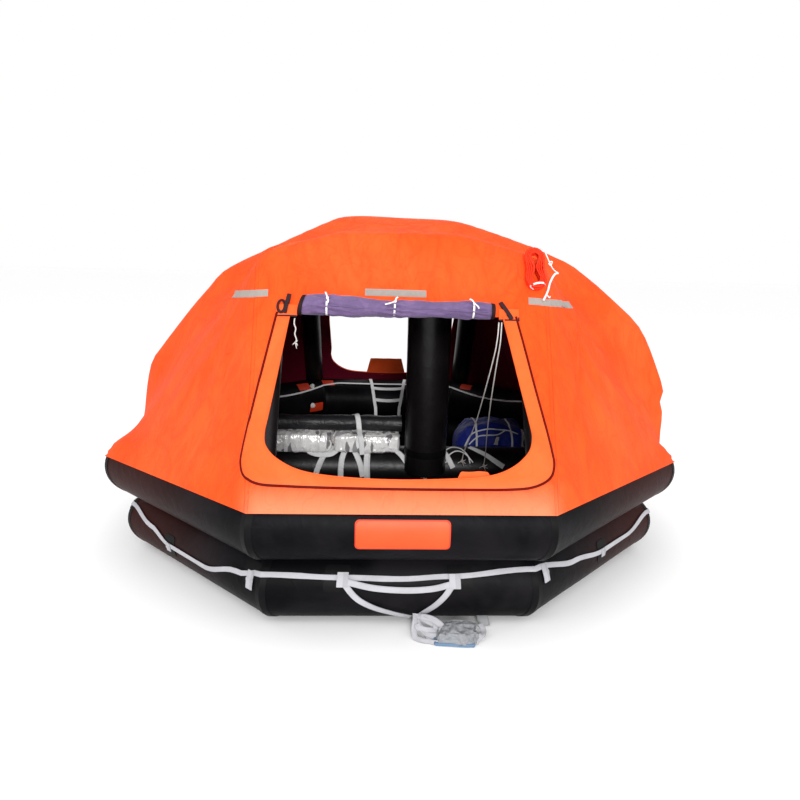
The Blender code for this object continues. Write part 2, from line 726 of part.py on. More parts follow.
def curved_pad(name, apothem, height, width, rise, finish, flat_face=False):
    """A pad that fits the outer side of a hull tube; its outer face is curved or flat."""
    turns = [math.radians(d) for d in (-24.5, -16.36, 0, 16.36, 24.5)]
    inner = [section_point(a, 1.05 * GAP, apothem, height) for a in turns]
    if flat_face:
        face = apothem + TUBE_RADIUS + rise
        outer = [(face, inner[-1][1]), (face, inner[0][1])]
    else:
        outer = [section_point(a, rise, apothem, height) for a in reversed(turns)]
    pad = extruded(name, inner + outer, width, finish)
    pad.data.transform(Matrix(((0, 0, -1, 0), (-1, 0, 0, 0), (0, 1, 0, 0), (0, 0, 0, 1))))
    return pad


def make_hull_patches():
    """Blank boarding signs at both doors and the pads that a tow line's bridle is glued to."""
    for name, turn in (("front_sign_patch", 0.0), ("rear_sign_patch", math.pi)):
        pad = curved_pad(name, UPPER_APOTHEM, UPPER_Z, SIGN_WIDTH, 0.004, SIGN)
        pad.rotation_euler.z = turn
    for name, x in (("tow_pad_left", TOW_PAD_X), ("tow_pad_right", -TOW_PAD_X)):
        pad = curved_pad(name, LOWER_APOTHEM, LOWER_Z, TOW_PAD_WIDTH, TOW_PAD_RISE, RUBBER, True)
        pad.rotation_euler.z = math.pi
        pad.location.x = x


def make_gas_cylinder():
    """The inflation cylinder, strapped outside the lower tube on the left rear side."""
    side = 5
    cylinder = cylinder_solid("gas_cylinder", CYLINDER_RADIUS, CYLINDER_LENGTH, CYLINDER_PAINT, 20,
                              0.03, 2)
    lie = Matrix.Rotation(math.pi / 2, 4, "Y")
    place = side_frame(side, LOWER_APOTHEM, LOWER_Z, 6, 0.0, CYLINDER_RADIUS + GAP)
    cylinder.data.transform(lie)
    cylinder.matrix_world = place
    valve = cylinder_solid("cylinder_valve", 0.022, 0.050, PLASTIC, 12, 0.004, 1)
    valve.data.transform(Matrix.Translation((CYLINDER_LENGTH / 2 + 0.025 + GAP, 0, 0)) @ lie)
    valve.matrix_world = place
    for name, x in (("cylinder_strap_left", -0.17), ("cylinder_strap_right", 0.17)):
        band = cylinder_solid(name, CYLINDER_RADIUS + 0.006, 0.040, STRAPPING, 20)
        band.data.transform(Matrix.Translation((x, 0, 0)) @ lie)
        band.matrix_world = place
        core = cylinder_solid(name + "_core", CYLINDER_RADIUS + GAP, 0.060, None, 20)
        core.data.transform(Matrix.Translation((x, 0, 0)) @ lie)
        core.matrix_world = place
        cut(band, core, lower_cutter)


def make_boarding_ladder():
    """Webbing legs from two anchors on the lower tube, a rung and the folded steps on the floor."""
    turns = [math.degrees(FACET) * k for k in (3, 2, 1, 0, -1, -2)]
    left_x = (-0.270, -0.266, -0.252, -0.205, -0.090, 0.060)
    right_x = (0.232, 0.229, 0.220, 0.196, 0.160, 0.120)
    left = hugging_path(LOWER_APOTHEM, LOWER_Z, list(zip(left_x, turns)), 0.006)
    right = hugging_path(LOWER_APOTHEM, LOWER_Z, list(zip(right_x, turns)), 0.006)
    rung = hugging_path(LOWER_APOTHEM, LOWER_Z, [(-0.255, 16), (0.222, 16)], 0.008)
    heap = box_solid("boarding_ladder", (HEAP_WIDTH, HEAP_DEPTH, HEAP_HEIGHT), WEBBING, 0.018, 2)
    heap.location = (HEAP_X, -HULL_WIDTH / 2 + HEAP_DEPTH / 2, HEAP_HEIGHT / 2)
    join(heap, ribbon("ladder_leg_left", left, 0.030, 0.004, None),
         ribbon("ladder_leg_right", right, 0.030, 0.004, None),
         ribbon("ladder_rung", rung, 0.030, 0.004, None))
    cut(heap, lower_cutter)


def make_cabin_ladder():
    """The webbing ladder inside the rear door, down the inner faces of both tubes."""
    def leg(side):
        turn = math.degrees(FACET)
        upper = [(side * (0.150 - 0.008 * k), 180 - turn * (5 - k)) for k in range(7)]
        lower = [(side * (0.090 - 0.006 * k), 180 - turn * (3 - k)) for k in range(3)]
        return (hugging_path(UPPER_APOTHEM, UPPER_Z, upper, LADDER_LIFT, True)
                + hugging_path(LOWER_APOTHEM, LOWER_Z, lower, LADDER_LIFT, True))

    ladder = ribbon("cabin_ladder", leg(1), 0.028, 0.004, WEBBING)
    rungs = []
    for k, (x, a) in enumerate(((0.128, 139), (0.110, 171))):
        across = hugging_path(UPPER_APOTHEM, UPPER_Z, [(-x, a), (x, a)], LADDER_LIFT + 0.002, True)
        rungs.append(ribbon(f"cabin_rung_{k + 1}", across, 0.028, 0.004, None))
    foot = hugging_path(LOWER_APOTHEM, LOWER_Z, [(-0.078, 155), (0.078, 155)], LADDER_LIFT + 0.002, True)
    rungs.append(ribbon("cabin_rung_3", foot, 0.028, 0.004, None))
    join(ladder, ribbon("cabin_ladder_leg", leg(-1), 0.028, 0.004, None), *rungs)
    cut(ladder, upper_cutter, lower_cutter)


def make_equipment(thwart_cutter):
    """The foil pack on the thwart with its strap, and the bag that stands behind the thwart."""
    pack = box_solid("foil_pack", PACK_SIZE, FOIL, 0.016, 2)
    pack.location = PACK_PLACE
    cut(pack, thwart_cutter)
    outer_height = PACK_SIZE[2] + 0.008
    strap = box_solid("pack_strap", (0.045, PACK_SIZE[1] + 0.009, outer_height), WEBBING, 0.016, 2)
    strap.location = PACK_PLACE + Vector((0.130, 0, 0))
    core = box_solid("pack_core", PACK_SIZE + Vector((0.0, 0.0008, 0.0008)), None, 0.014, 2)
    core.location = PACK_PLACE
    cut(strap, core, thwart_cutter)
    bag = box_solid("equipment_bag", BAG_SIZE, BAG_CLOTH, 0.05, 3)
    bag.location = (BAG_PLACE.x, BAG_PLACE.y, FLOOR_HIGH + GAP + BAG_SIZE[2] / 2)


def make_valves():
    """Topping-up valves on the inner faces of both tubes, left rear side."""
    for name, apothem, height, facet, along in (
            ("upper_valve", UPPER_APOTHEM, UPPER_Z, -5, 0.10), ("lower_valve", LOWER_APOTHEM, LOWER_Z, -3, 0.22)):
        valve = cylinder_solid(name, 0.024, 0.020, PLASTIC, 14, 0.004, 1)
        valve.data.transform(Matrix.Translation((0, 0, 0.010)))
        valve.matrix_world = side_frame(5, apothem, height, facet, along)


def make_door_loops(end, label):
    """The black webbing loops beside the door head, which a rolled curtain is tied to."""
    for name, x in (("left", -LOOP_X), ("right", LOOP_X)):
        loop = box_solid(f"{label}_loop_{name}", (0.040, 0.085, 0.028), STRAPPING, 0.008, 1)
        loop.matrix_world = wall_frame(LOOP_Z, x, 0.014 + GAP, end)


def make_heaving_line():
    """The hank of floating rope tied at the right shoulder of the front wall."""
    half, straight = 0.060, 0.070
    outline = []
    for k in range(17):
        turn = math.pi * k / 8
        lift = straight / 2 if k <= 8 else -straight / 2
        if k == 8:
            outline.append((-half, straight / 2))
            outline.append((-half, -straight / 2))
        elif k == 16:
            outline.append((half, -straight / 2))
        else:
            outline.append((half * math.cos(turn), lift + half * math.sin(turn)))
    hank = extruded("heaving_line", outline, HANK_DEPTH, ROPE)
    hank.matrix_world = wall_frame(HANK_Z, HANK_X, HANK_DEPTH / 2 + GAP)


def make_cords():
    """White cords from the door head's right corner to the thwart, and the short tie at its left."""
    for name, route in (("door_cord_left", DOOR_CORD_LEFT), ("door_cord_right", DOOR_CORD_RIGHT)):
        tube(name, smooth_path(route, 10), CORD_RADIUS, WEBBING, 2)
    tube("door_tie", smooth_path(DOOR_TIE, 4), CORD_RADIUS, WEBBING, 2)


make_floor()
make_water_pockets()
column, thwart_cutter = make_thwart_and_column()
arch, arch_cutter = make_support("centre_arch", arch_path(), ARCH_RADIUS)
cut(column, arch_cutter)
front_hoop, front_cutter = make_support("front_hoop", hoop_path(-1), HOOP_RADIUS)
rear_hoop, rear_cutter = make_support("rear_hoop", hoop_path(1), HOOP_RADIUS)
make_canopy([arch_cutter, front_cutter, rear_cutter])
make_door_roll("front_door_roll", -1)
make_door_roll("rear_door_roll", 1)
make_lifelines()
make_hull_patches()
make_gas_cylinder()
make_boarding_ladder()
make_cabin_ladder()
make_equipment(thwart_cutter)
make_valves()
make_door_loops(-1, "front")
make_door_loops(1, "rear")
make_heaving_line()
make_cords()
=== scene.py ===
"""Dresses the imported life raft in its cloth, rubber, webbing, foil and rope, and lights it.

Metres, +Z up. The origin is on the floor under the middle of the hull, the front door faces -Y.
"""
import json
import logging
import math
from dataclasses import dataclass, field
from enum import Enum, IntEnum
from typing import Callable, Iterable, Optional, Sequence
import bmesh
import bpy
from mathutils import Matrix, Vector, noise
from mathutils.bvhtree import BVHTree
from mathutils.geometry import intersect_point_line
from mathutils.kdtree import KDTree

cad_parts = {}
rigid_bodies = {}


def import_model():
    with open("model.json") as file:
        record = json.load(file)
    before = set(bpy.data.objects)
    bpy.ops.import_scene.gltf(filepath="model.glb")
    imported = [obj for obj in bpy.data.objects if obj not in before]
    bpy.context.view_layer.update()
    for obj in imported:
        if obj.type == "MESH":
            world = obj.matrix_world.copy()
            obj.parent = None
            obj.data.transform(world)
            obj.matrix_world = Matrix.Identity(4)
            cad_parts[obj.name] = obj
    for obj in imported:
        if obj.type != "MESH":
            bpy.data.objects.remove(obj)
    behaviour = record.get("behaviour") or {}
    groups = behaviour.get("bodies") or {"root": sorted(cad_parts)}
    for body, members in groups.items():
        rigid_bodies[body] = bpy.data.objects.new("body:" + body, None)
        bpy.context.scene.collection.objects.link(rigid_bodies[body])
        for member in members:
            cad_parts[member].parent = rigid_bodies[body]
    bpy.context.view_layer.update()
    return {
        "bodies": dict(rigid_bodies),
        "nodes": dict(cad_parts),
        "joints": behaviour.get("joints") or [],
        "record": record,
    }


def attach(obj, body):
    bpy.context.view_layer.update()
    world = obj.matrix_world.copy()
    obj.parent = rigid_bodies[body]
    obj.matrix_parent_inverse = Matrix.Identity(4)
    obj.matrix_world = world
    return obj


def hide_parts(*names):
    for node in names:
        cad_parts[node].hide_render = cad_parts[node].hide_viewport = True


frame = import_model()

LOG = logging.getLogger("life_raft")

Color = tuple[float, float, float]
Station = tuple[Vector, Vector]


class Body(Enum):
    """The bodies that a piece can ride on."""

    RAFT = "raft"
    FRONT_CURTAIN = "front_curtain"
    REAR_CURTAIN = "rear_curtain"


class End(IntEnum):
    """The two doorway ends of the raft, by the sign of Y."""

    FRONT = -1
    REAR = 1


class Mapping(Enum):
    """What a finish's pattern follows: the place in the raft, or the piece's own cloth."""

    PLACE = "Object"
    CLOTH = "UV"


def linear(red: int, green: int, blue: int) -> Color:
    """A display colour of 0 to 255 as the renderer's linear colour."""
    return tuple((c / 255 / 12.92) if c <= 10 else ((c / 255 + 0.055) / 1.055) ** 2.4 for c in (red, green, blue))


class Graph:
    """A node tree with short calls to add nodes and wire them."""

    def __init__(self, tree: bpy.types.NodeTree) -> None:
        """Take a tree whose nodes are to be made."""
        self.tree = tree

    def node(self, kind: str, inputs: Optional[dict] = None, **settings: object) -> bpy.types.Node:
        """Add a node.

        Args:
            kind: The node's type without its ShaderNode prefix.
            inputs: Values or output sockets by input name or number.
            settings: The node's own properties.

        Returns:
            The new node.
        """
        made = self.tree.nodes.new("ShaderNode" + kind)
        for name, value in settings.items():
            setattr(made, name, value)
        for name, value in (inputs or {}).items():
            if isinstance(value, bpy.types.NodeSocket):
                self.tree.links.new(value, made.inputs[name])
            else:
                made.inputs[name].default_value = value
        return made

    def join(self, value: bpy.types.NodeSocket, made: bpy.types.Node, name: str) -> None:
        """Wire a socket into a node's named input."""
        self.tree.links.new(value, made.inputs[name])

    def math(self, operation: str, *values: object, clamp: bool = False) -> bpy.types.NodeSocket:
        """A Math node's result."""
        return self.node("Math", dict(enumerate(values)), operation=operation, use_clamp=clamp).outputs[0]

    def ramp(self, value: bpy.types.NodeSocket, low: float, high: float) -> bpy.types.NodeSocket:
        """A value stretched so that low gives 0 and high gives 1, with soft ends."""
        made = self.node("MapRange", {"Value": value, "From Min": low, "From Max": high},
                         interpolation_type="SMOOTHSTEP")
        return made.outputs["Result"]

    def mix(self, share: object, one: object, two: object) -> bpy.types.NodeSocket:
        """Two colours mixed."""
        made = self.node("Mix", {0: share, 6: one, 7: two}, data_type="RGBA")
        return made.outputs[2]


class GroupLibrary:
    """The shader node groups that the finishes share, each built once."""

    def __init__(self) -> None:
        """Start with no groups."""
        self._made: dict[str, bpy.types.NodeTree] = {}

    def use(self, graph: Graph, name: str, inputs: dict) -> bpy.types.Node:
        """Place a group in a tree.

        Args:
            graph: The tree that gets the group.
            name: The group's name, by which its method is found.
            inputs: Values or sockets by input name.

        Returns:
            The group's node.
        """
        if name not in self._made:
            makers = {"plain_weave": self._plain_weave, "soft_creases": self._soft_creases,
                      "surface_wear": self._surface_wear, "foil_crinkle": self._foil_crinkle,
                      "webbing_ribs": self._webbing_ribs, "rope_lay": self._rope_lay, "sewn_seam": self._sewn_seam}
            self._made[name] = makers[name](name)
        made = graph.tree.nodes.new("ShaderNodeGroup")
        made.node_tree = self._made[name]
        for key, value in inputs.items():
            if isinstance(value, bpy.types.NodeSocket):
                graph.tree.links.new(value, made.inputs[key])
            else:
                made.inputs[key].default_value = value
        return made

    @staticmethod
    def _open(name: str, inputs: dict[str, float],
              outputs: Sequence[str]) -> tuple[Graph, bpy.types.Node, bpy.types.Node]:
        """A new group with a Vector input, the named float inputs and float outputs."""
        tree = bpy.data.node_groups.new(name, "ShaderNodeTree")
        tree.interface.new_socket(name="Vector", in_out="INPUT", socket_type="NodeSocketVector")
        for key, value in inputs.items():
            socket = tree.interface.new_socket(name=key, in_out="INPUT", socket_type="NodeSocketFloat")
            socket.default_value = value
        for key in outputs:
            tree.interface.new_socket(name=key, in_out="OUTPUT", socket_type="NodeSocketFloat")
        return Graph(tree), tree.nodes.new("NodeGroupInput"), tree.nodes.new("NodeGroupOutput")

    def _plain_weave(self, name: str) -> bpy.types.NodeTree:
        """Warp and weft of a cloth, at a pitch in metres."""
        graph, given, made = self._open(name, {"Pitch": 0.002}, ["Height"])
        parts = graph.node("SeparateXYZ", {0: given.outputs["Vector"]})
        turns = graph.math("DIVIDE", math.pi, given.outputs["Pitch"])
        waves = [graph.math("SINE", graph.math("MULTIPLY", parts.outputs[k], turns)) for k in (0, 1, 2)]
        across = graph.math("ADD", graph.math("MULTIPLY", waves[0], waves[1]),
                            graph.math("MULTIPLY", waves[1], waves[2]))
        across = graph.math("ADD", across, graph.math("MULTIPLY", waves[0], waves[2]))
        graph.join(graph.math("MULTIPLY_ADD", across, 0.33, 0.5), made, "Height")
        return graph.tree

    def _soft_creases(self, name: str) -> bpy.types.NodeTree:
        """Broad waves and a few sharper folds, as slack coated cloth has."""
        graph, given, made = self._open(name, {"Scale": 2.0, "Sharpness": 4.0}, ["Height", "Fold"])
        broad = graph.node("TexNoise", {"Vector": given.outputs["Vector"], "Scale": given.outputs["Scale"],
                                        "Detail": 2.0, "Roughness": 0.45, "Distortion": 0.4})
        fine = graph.node("TexNoise", {"Vector": given.outputs["Vector"],
                                       "Scale": graph.math("MULTIPLY", given.outputs["Scale"], 1.7),
                                       "Detail": 3.0, "Roughness": 0.5, "Distortion": 1.1})
        away = graph.math("ABSOLUTE", graph.math("MULTIPLY_ADD", fine.outputs["Fac"], 2.0, -1.0))
        ridge = graph.math("POWER", graph.math("SUBTRACT", 1.0, away), given.outputs["Sharpness"], clamp=True)
        height = graph.math("MULTIPLY_ADD", ridge, 0.35, broad.outputs["Fac"])
        graph.join(height, made, "Height")
        graph.join(ridge, made, "Fold")
        return graph.tree

    def _surface_wear(self, name: str) -> bpy.types.NodeTree:
        """Handling marks: cloudy patches, scuffs, and dust where the surface faces up."""
        graph, given, made = self._open(name, {"Scale": 4.0, "Dust": 0.5}, ["Mask", "Fine"])
        cloud = graph.node("TexNoise", {"Vector": given.outputs["Vector"], "Scale": given.outputs["Scale"],
                                        "Detail": 4.0, "Roughness": 0.6, "Distortion": 0.3})
        grain = graph.node("TexNoise", {"Vector": given.outputs["Vector"],
                                        "Scale": graph.math("MULTIPLY", given.outputs["Scale"], 14.0),
                                        "Detail": 5.0, "Roughness": 0.7})
        stretched = graph.node("VectorMath", {0: given.outputs["Vector"], 1: (1.0, 1.0, 5.0)}, operation="MULTIPLY")
        scuff = graph.node("TexNoise", {"Vector": stretched.outputs[0],
                                        "Scale": graph.math("MULTIPLY", given.outputs["Scale"], 3.0),
                                        "Detail": 6.0, "Roughness": 0.75, "Distortion": 1.5})
        lines = graph.ramp(scuff.outputs["Fac"], 0.6, 0.72)
        facing = graph.node("SeparateXYZ", {0: graph.node("NewGeometry").outputs["Normal"]}).outputs[2]
        dust = graph.math("MULTIPLY", graph.math("MAXIMUM", facing, 0.0), given.outputs["Dust"])
        dust = graph.math("MULTIPLY", dust, graph.ramp(cloud.outputs["Fac"], 0.3, 0.75))
        clouds = graph.math("MULTIPLY", graph.ramp(cloud.outputs["Fac"], 0.38, 0.68), 0.6)
        total = graph.math("ADD", graph.math("ADD", clouds, dust), graph.math("MULTIPLY", lines, 0.35), clamp=True)
        graph.join(total, made, "Mask")
        graph.join(grain.outputs["Fac"], made, "Fine")
        return graph.tree

    def _foil_crinkle(self, name: str) -> bpy.types.NodeTree:
        """The flat facets and sharp folds of crumpled metal film."""
        graph, given, made = self._open(name, {"Scale": 30.0}, ["Height", "Facet"])
        swirl = graph.node("TexNoise", {"Vector": given.outputs["Vector"], "Scale": 9.0, "Detail": 2.0})
        moved = graph.node("VectorMath", {0: swirl.outputs["Color"], 1: (0.05, 0.05, 0.05)}, operation="MULTIPLY")
        bent = graph.node("VectorMath", {0: given.outputs["Vector"], 1: moved.outputs[0]}, operation="ADD")
        big = graph.node("TexVoronoi", {"Vector": bent.outputs[0], "Scale": given.outputs["Scale"]}, feature="F1")
        small = graph.node("TexVoronoi", {"Vector": bent.outputs[0],
                                          "Scale": graph.math("MULTIPLY", given.outputs["Scale"], 2.6)}, feature="F1")
        height = graph.math("MULTIPLY_ADD", small.outputs["Distance"], 0.4, big.outputs["Distance"])
        facet = graph.node("SeparateXYZ", {0: big.outputs["Color"]}).outputs[0]
        graph.join(height, made, "Height")
        graph.join(facet, made, "Facet")
        return graph.tree

    def _webbing_ribs(self, name: str) -> bpy.types.NodeTree:
        """Herringbone ribs along a strap; the map's X runs across it and Y along it, in metres."""
        graph, given, made = self._open(name, {"Pitch": 0.003, "Width": 0.04}, ["Height", "Edge"])
        parts = graph.node("SeparateXYZ", {0: given.outputs["Vector"]})
        half = graph.math("MULTIPLY", given.outputs["Width"], 0.5)
        away = graph.math("ABSOLUTE", graph.math("SUBTRACT", parts.outputs[0], half))
        slant = graph.math("ADD", parts.outputs[1], away)
        ribs = graph.math("SINE", graph.math("DIVIDE", graph.math("MULTIPLY", slant, 2 * math.pi),
                                             given.outputs["Pitch"]))
        edge = graph.ramp(graph.math("DIVIDE", away, half), 0.78, 0.98)
        height = graph.math("MULTIPLY_ADD", ribs, 0.5, 0.5)
        graph.join(graph.math("SUBTRACT", height, edge), made, "Height")
        graph.join(edge, made, "Edge")
        return graph.tree

    def _rope_lay(self, name: str) -> bpy.types.NodeTree:
        """Strands wound round a cord; the map's X runs round it and Y along it, in metres."""
        graph, given, made = self._open(name, {"Girth": 0.022, "Lay": 0.03, "Strands": 3.0}, ["Height"])
        parts = graph.node("SeparateXYZ", {0: given.outputs["Vector"]})
        around = graph.math("MULTIPLY", graph.math("DIVIDE", parts.outputs[0], given.outputs["Girth"]),
                            given.outputs["Strands"])
        turn = graph.math("ADD", around, graph.math("DIVIDE", parts.outputs[1], given.outputs["Lay"]))
        wave = graph.math("ABSOLUTE", graph.math("SINE", graph.math("MULTIPLY", turn, math.pi)))
        graph.join(wave, made, "Height")
        return graph.tree

    def _sewn_seam(self, name: str) -> bpy.types.NodeTree:
        """Two rows of stitches on a lapped seam that runs along the map's Y at X = Offset, on both sides."""
        graph, given, made = self._open(name, {"Offset": 0.5, "Half": 0.012}, ["Lap", "Stitch"])
        parts = graph.node("SeparateXYZ", {0: given.outputs["Vector"]})
        off = graph.math("SUBTRACT", graph.math("ABSOLUTE", parts.outputs[0]), given.outputs["Offset"])
        lap = graph.math("SUBTRACT", 1.0, graph.ramp(graph.math("ABSOLUTE", off), 0.008, 0.013))
        rows = graph.math("ABSOLUTE", graph.math("SUBTRACT", graph.math("ABSOLUTE", off), 0.006))
        row = graph.math("LESS_THAN", rows, 0.0011)
        dash = graph.math("GREATER_THAN", graph.math("SINE", graph.math("MULTIPLY", parts.outputs[1], 1200.0)), -0.2)
        graph.join(lap, made, "Lap")
        graph.join(graph.math("MULTIPLY", row, dash), made, "Stitch")
        return graph.tree


GROUPS = GroupLibrary()


@dataclass(frozen=True)
class Finish:
    """A surface finish: its colours, gloss and relief."""

    name: str
    slot: str
    base: Color
    worn: Color
    roughness: float
    rough_spread: float = 0.1
    wear_scale: float = 4.0
    wear_share: float = 0.35
    dust: float = 0.4
    metallic: float = 0.0
    sheen: float = 0.0
    specular: float = 0.3
    mapping: Mapping = Mapping.PLACE

    def material(self) -> bpy.types.Material:
        """The finish as a material, made on its first use."""
        known = bpy.data.materials.get(self.name)
        if known is not None and known.get("finish"):
            return known
        made = bpy.data.materials.new(self.name)
        made["finish"] = True
        made.use_nodes = True
        graph = Graph(made.node_tree)
        shader = made.node_tree.nodes["Principled BSDF"]
        place = graph.node("TexCoord").outputs["Object"]
        cloth = graph.node("UVMap", uv_map="UVMap").outputs["UV"] if self.mapping is Mapping.CLOTH else place
        wear = GROUPS.use(graph, "surface_wear", {"Vector": place, "Scale": self.wear_scale, "Dust": self.dust})
        share = graph.math("MULTIPLY", wear.outputs["Mask"], self.wear_share)
        color = graph.mix(share, (*self.base, 1.0), (*self.worn, 1.0))
        color, rough, normal = self.detail(graph, place, cloth, color, wear)
        spread = graph.math("MULTIPLY_ADD", wear.outputs["Fine"], self.rough_spread, rough - self.rough_spread / 2
                            if isinstance(rough, float) else rough)
        graph.join(color, shader, "Base Color")
        graph.join(spread, shader, "Roughness")
        if normal is not None:
            graph.join(normal, shader, "Normal")
        shader.inputs["Metallic"].default_value = self.metallic
        shader.inputs["Sheen Weight"].default_value = self.sheen
        shader.inputs["Specular IOR Level"].default_value = self.specular
        return made

    def detail(self, graph: Graph, place: bpy.types.NodeSocket, cloth: bpy.types.NodeSocket,
               color: bpy.types.NodeSocket, wear: bpy.types.Node) -> tuple:
        """What the kind of surface adds.

        Args:
            graph: The material's tree.
            place: Coordinates in the raft.
            cloth: Coordinates that follow the surface.
            color: The worn base colour.
            wear: The wear group's node.

        Returns:
            The colour, the roughness as a number or socket, and the normal or None.
        """
        return color, self.roughness, bump(graph, wear.outputs["Fine"], 0.0004)


def bump(graph: Graph, height: bpy.types.NodeSocket, depth: float,
         under: Optional[bpy.types.NodeSocket] = None, strength: float = 1.0) -> bpy.types.NodeSocket:
    """A Bump node's normal, over another one if given, for a relief depth in metres."""
    inputs = {"Height": height, "Distance": depth, "Strength": strength}
    if under is not None:
        inputs["Normal"] = under
    return graph.node("Bump", inputs).outputs["Normal"]


@dataclass(frozen=True)
class CoatedCloth(Finish):
    """Proofed canopy cloth: a fine weave under a coat, with soft folds darkened by painted shade, and sewn seams."""

    crease_scale: float = 1.6
    crease_depth: float = 0.01
    weave_pitch: float = 0.0035
    weave_depth: float = 0.00012
    # Colour of the painted shade laid along the folds, also used for the stitches; a darker copy of the base when not
    # given.
    fold_shade: Optional[Color] = None
    seam_offset: float = 0.0
    # How far the end walls' lower strip is made paler with painted light.
    foot_painted_light: float = 0.0
    fine_creases: float = 0.0
    # How much of that painted shade the folds take.
    fold_share: float = 0.22
    stretch: tuple[float, float, float] = (1.0, 1.0, 1.0)

    def detail(self, graph, place, cloth, color, wear):
        """Add the folds with painted shade along them, the weave, painted light on the end walls' lower strip where
        asked, and the seams where there are any.
        """
        shade = self.fold_shade or tint(self.base, -0.35)
        drawn = graph.node("VectorMath", {0: place, 1: self.stretch}, operation="MULTIPLY").outputs[0]
        folds = GROUPS.use(graph, "soft_creases", {"Vector": drawn, "Scale": self.crease_scale, "Sharpness": 5.0})
        weave = GROUPS.use(graph, "plain_weave", {"Vector": cloth, "Pitch": self.weave_pitch})
        normal = bump(graph, folds.outputs["Height"], self.crease_depth, strength=0.35)
        # Painted shade: the colour is darkened along the folds.
        color = graph.mix(graph.math("MULTIPLY", folds.outputs["Fold"], self.fold_share), color, (*shade, 1.0))
        if self.fine_creases:
            small = GROUPS.use(graph, "soft_creases", {"Vector": drawn, "Scale": self.crease_scale * 3.4,
                                                       "Sharpness": 9.0})
            normal = bump(graph, small.outputs["Height"], self.crease_depth * 0.45, normal, self.fine_creases)
            # Painted shade along the fine creases as well.
            share = graph.math("MULTIPLY", small.outputs["Fold"], self.fold_share * 0.5)
            color = graph.mix(share, color, (*shade, 1.0))
        # Painted light: the lower strip of each end wall, away from its corners, is made paler.
        if self.foot_painted_light:
            axes = graph.node("SeparateXYZ", {0: place}).outputs
            low = graph.math("SUBTRACT", 1.0, graph.ramp(axes[2], 0.57, 0.74))
            beyond = graph.ramp(graph.math("ABSOLUTE", axes[0]), 0.6, 0.74)
            low = graph.math("MULTIPLY", low, graph.math("SUBTRACT", 1.0, beyond))
            low = graph.math("MULTIPLY", low, graph.ramp(graph.math("ABSOLUTE", axes[1]), 1.15, 1.35))
            # The colour of that painted light: the worn colour with more green and blue.
            pale = (self.worn[0], self.worn[1] * 1.5, self.worn[2] * 2.6, 1.0)
            color = graph.mix(graph.math("MULTIPLY", low, self.foot_painted_light), color, pale)
        if self.seam_offset:
            seam = GROUPS.use(graph, "sewn_seam", {"Vector": cloth, "Offset": self.seam_offset})
            normal = bump(graph, seam.outputs["Lap"], 0.004, normal)
            color = graph.mix(graph.math("MULTIPLY", seam.outputs["Stitch"], 0.5), color, (*shade, 1.0))
        return color, self.roughness, bump(graph, weave.outputs["Height"], self.weave_depth, normal, 0.6)


@dataclass(frozen=True)
class Rubber(Finish):
    """Rubber-proofed tube fabric: matt black with a soft sheen and slight puckers."""

    pucker_scale: float = 3.0
    pucker_depth: float = 0.006
    # Share of the painted reddish light on the hull's sides.
    side_painted_light: float = 0.0

    def detail(self, graph, place, cloth, color, wear):
        """Add the puckers, the fabric's grain, and where asked a painted reddish light on the hull's sides."""
        folds = GROUPS.use(graph, "soft_creases", {"Vector": place, "Scale": self.pucker_scale, "Sharpness": 7.0})
        weave = GROUPS.use(graph, "plain_weave", {"Vector": place, "Pitch": 0.0025})
        normal = bump(graph, folds.outputs["Height"], self.pucker_depth, strength=0.25)
        normal = bump(graph, wear.outputs["Fine"], 0.0006, normal, 0.5)
        # Painted light: the tubes more than 0.75 m to either side of the middle line take a reddish cast.
        if self.side_painted_light:
            across = graph.node("SeparateXYZ", {0: place}).outputs[0]
            aside = graph.ramp(graph.math("ABSOLUTE", across), 0.75, 1.45)
            color = graph.mix(graph.math("MULTIPLY", aside, self.side_painted_light), color, (0.032, 0.005, 0.003, 1.0))
        return color, self.roughness, bump(graph, weave.outputs["Height"], 0.0001, normal, 0.4)


@dataclass(frozen=True)
class Webbing(Finish):
    """Woven strap."""

    width: float = 0.04
    pitch: float = 0.004
    mapping: Mapping = Mapping.CLOTH

    def detail(self, graph, place, cloth, color, wear):
        """Add the ribs, with painted shade in the grooves between them, and make the strap darker along its edges."""
        ribs = GROUPS.use(graph, "webbing_ribs", {"Vector": cloth, "Pitch": self.pitch, "Width": self.width})
        shade = tuple(c * 0.62 for c in self.base)
        color = graph.mix(graph.math("MULTIPLY", ribs.outputs["Edge"], 0.35), color, (*shade, 1.0))
        # Painted shade: the grooves between the ribs are darkened.
        low = graph.math("SUBTRACT", 1.0, ribs.outputs["Height"])
        color = graph.mix(graph.math("MULTIPLY", low, 0.18, clamp=True), color, (*shade, 1.0))
        return color, self.roughness, bump(graph, ribs.outputs["Height"], 0.0006, strength=0.7)


@dataclass(frozen=True)
class Rope(Finish):
    """Laid or braided cord."""

    girth: float = 0.022
    lay: float = 0.022
    strands: float = 3.0
    mapping: Mapping = Mapping.CLOTH

    def detail(self, graph, place, cloth, color, wear):
        """Add the strands, with painted shade between them."""
        lay = GROUPS.use(graph, "rope_lay", {"Vector": cloth, "Girth": self.girth, "Lay": self.lay,
                                             "Strands": self.strands})
        # Painted shade in the gaps between the strands.
        gap = graph.math("SUBTRACT", 1.0, graph.ramp(lay.outputs["Height"], 0.0, 0.45))
        shade = tuple(c * 0.4 for c in self.base)
        color = graph.mix(graph.math("MULTIPLY", gap, 0.7), color, (*shade, 1.0))
        return color, self.roughness, bump(graph, lay.outputs["Height"], 0.0012)


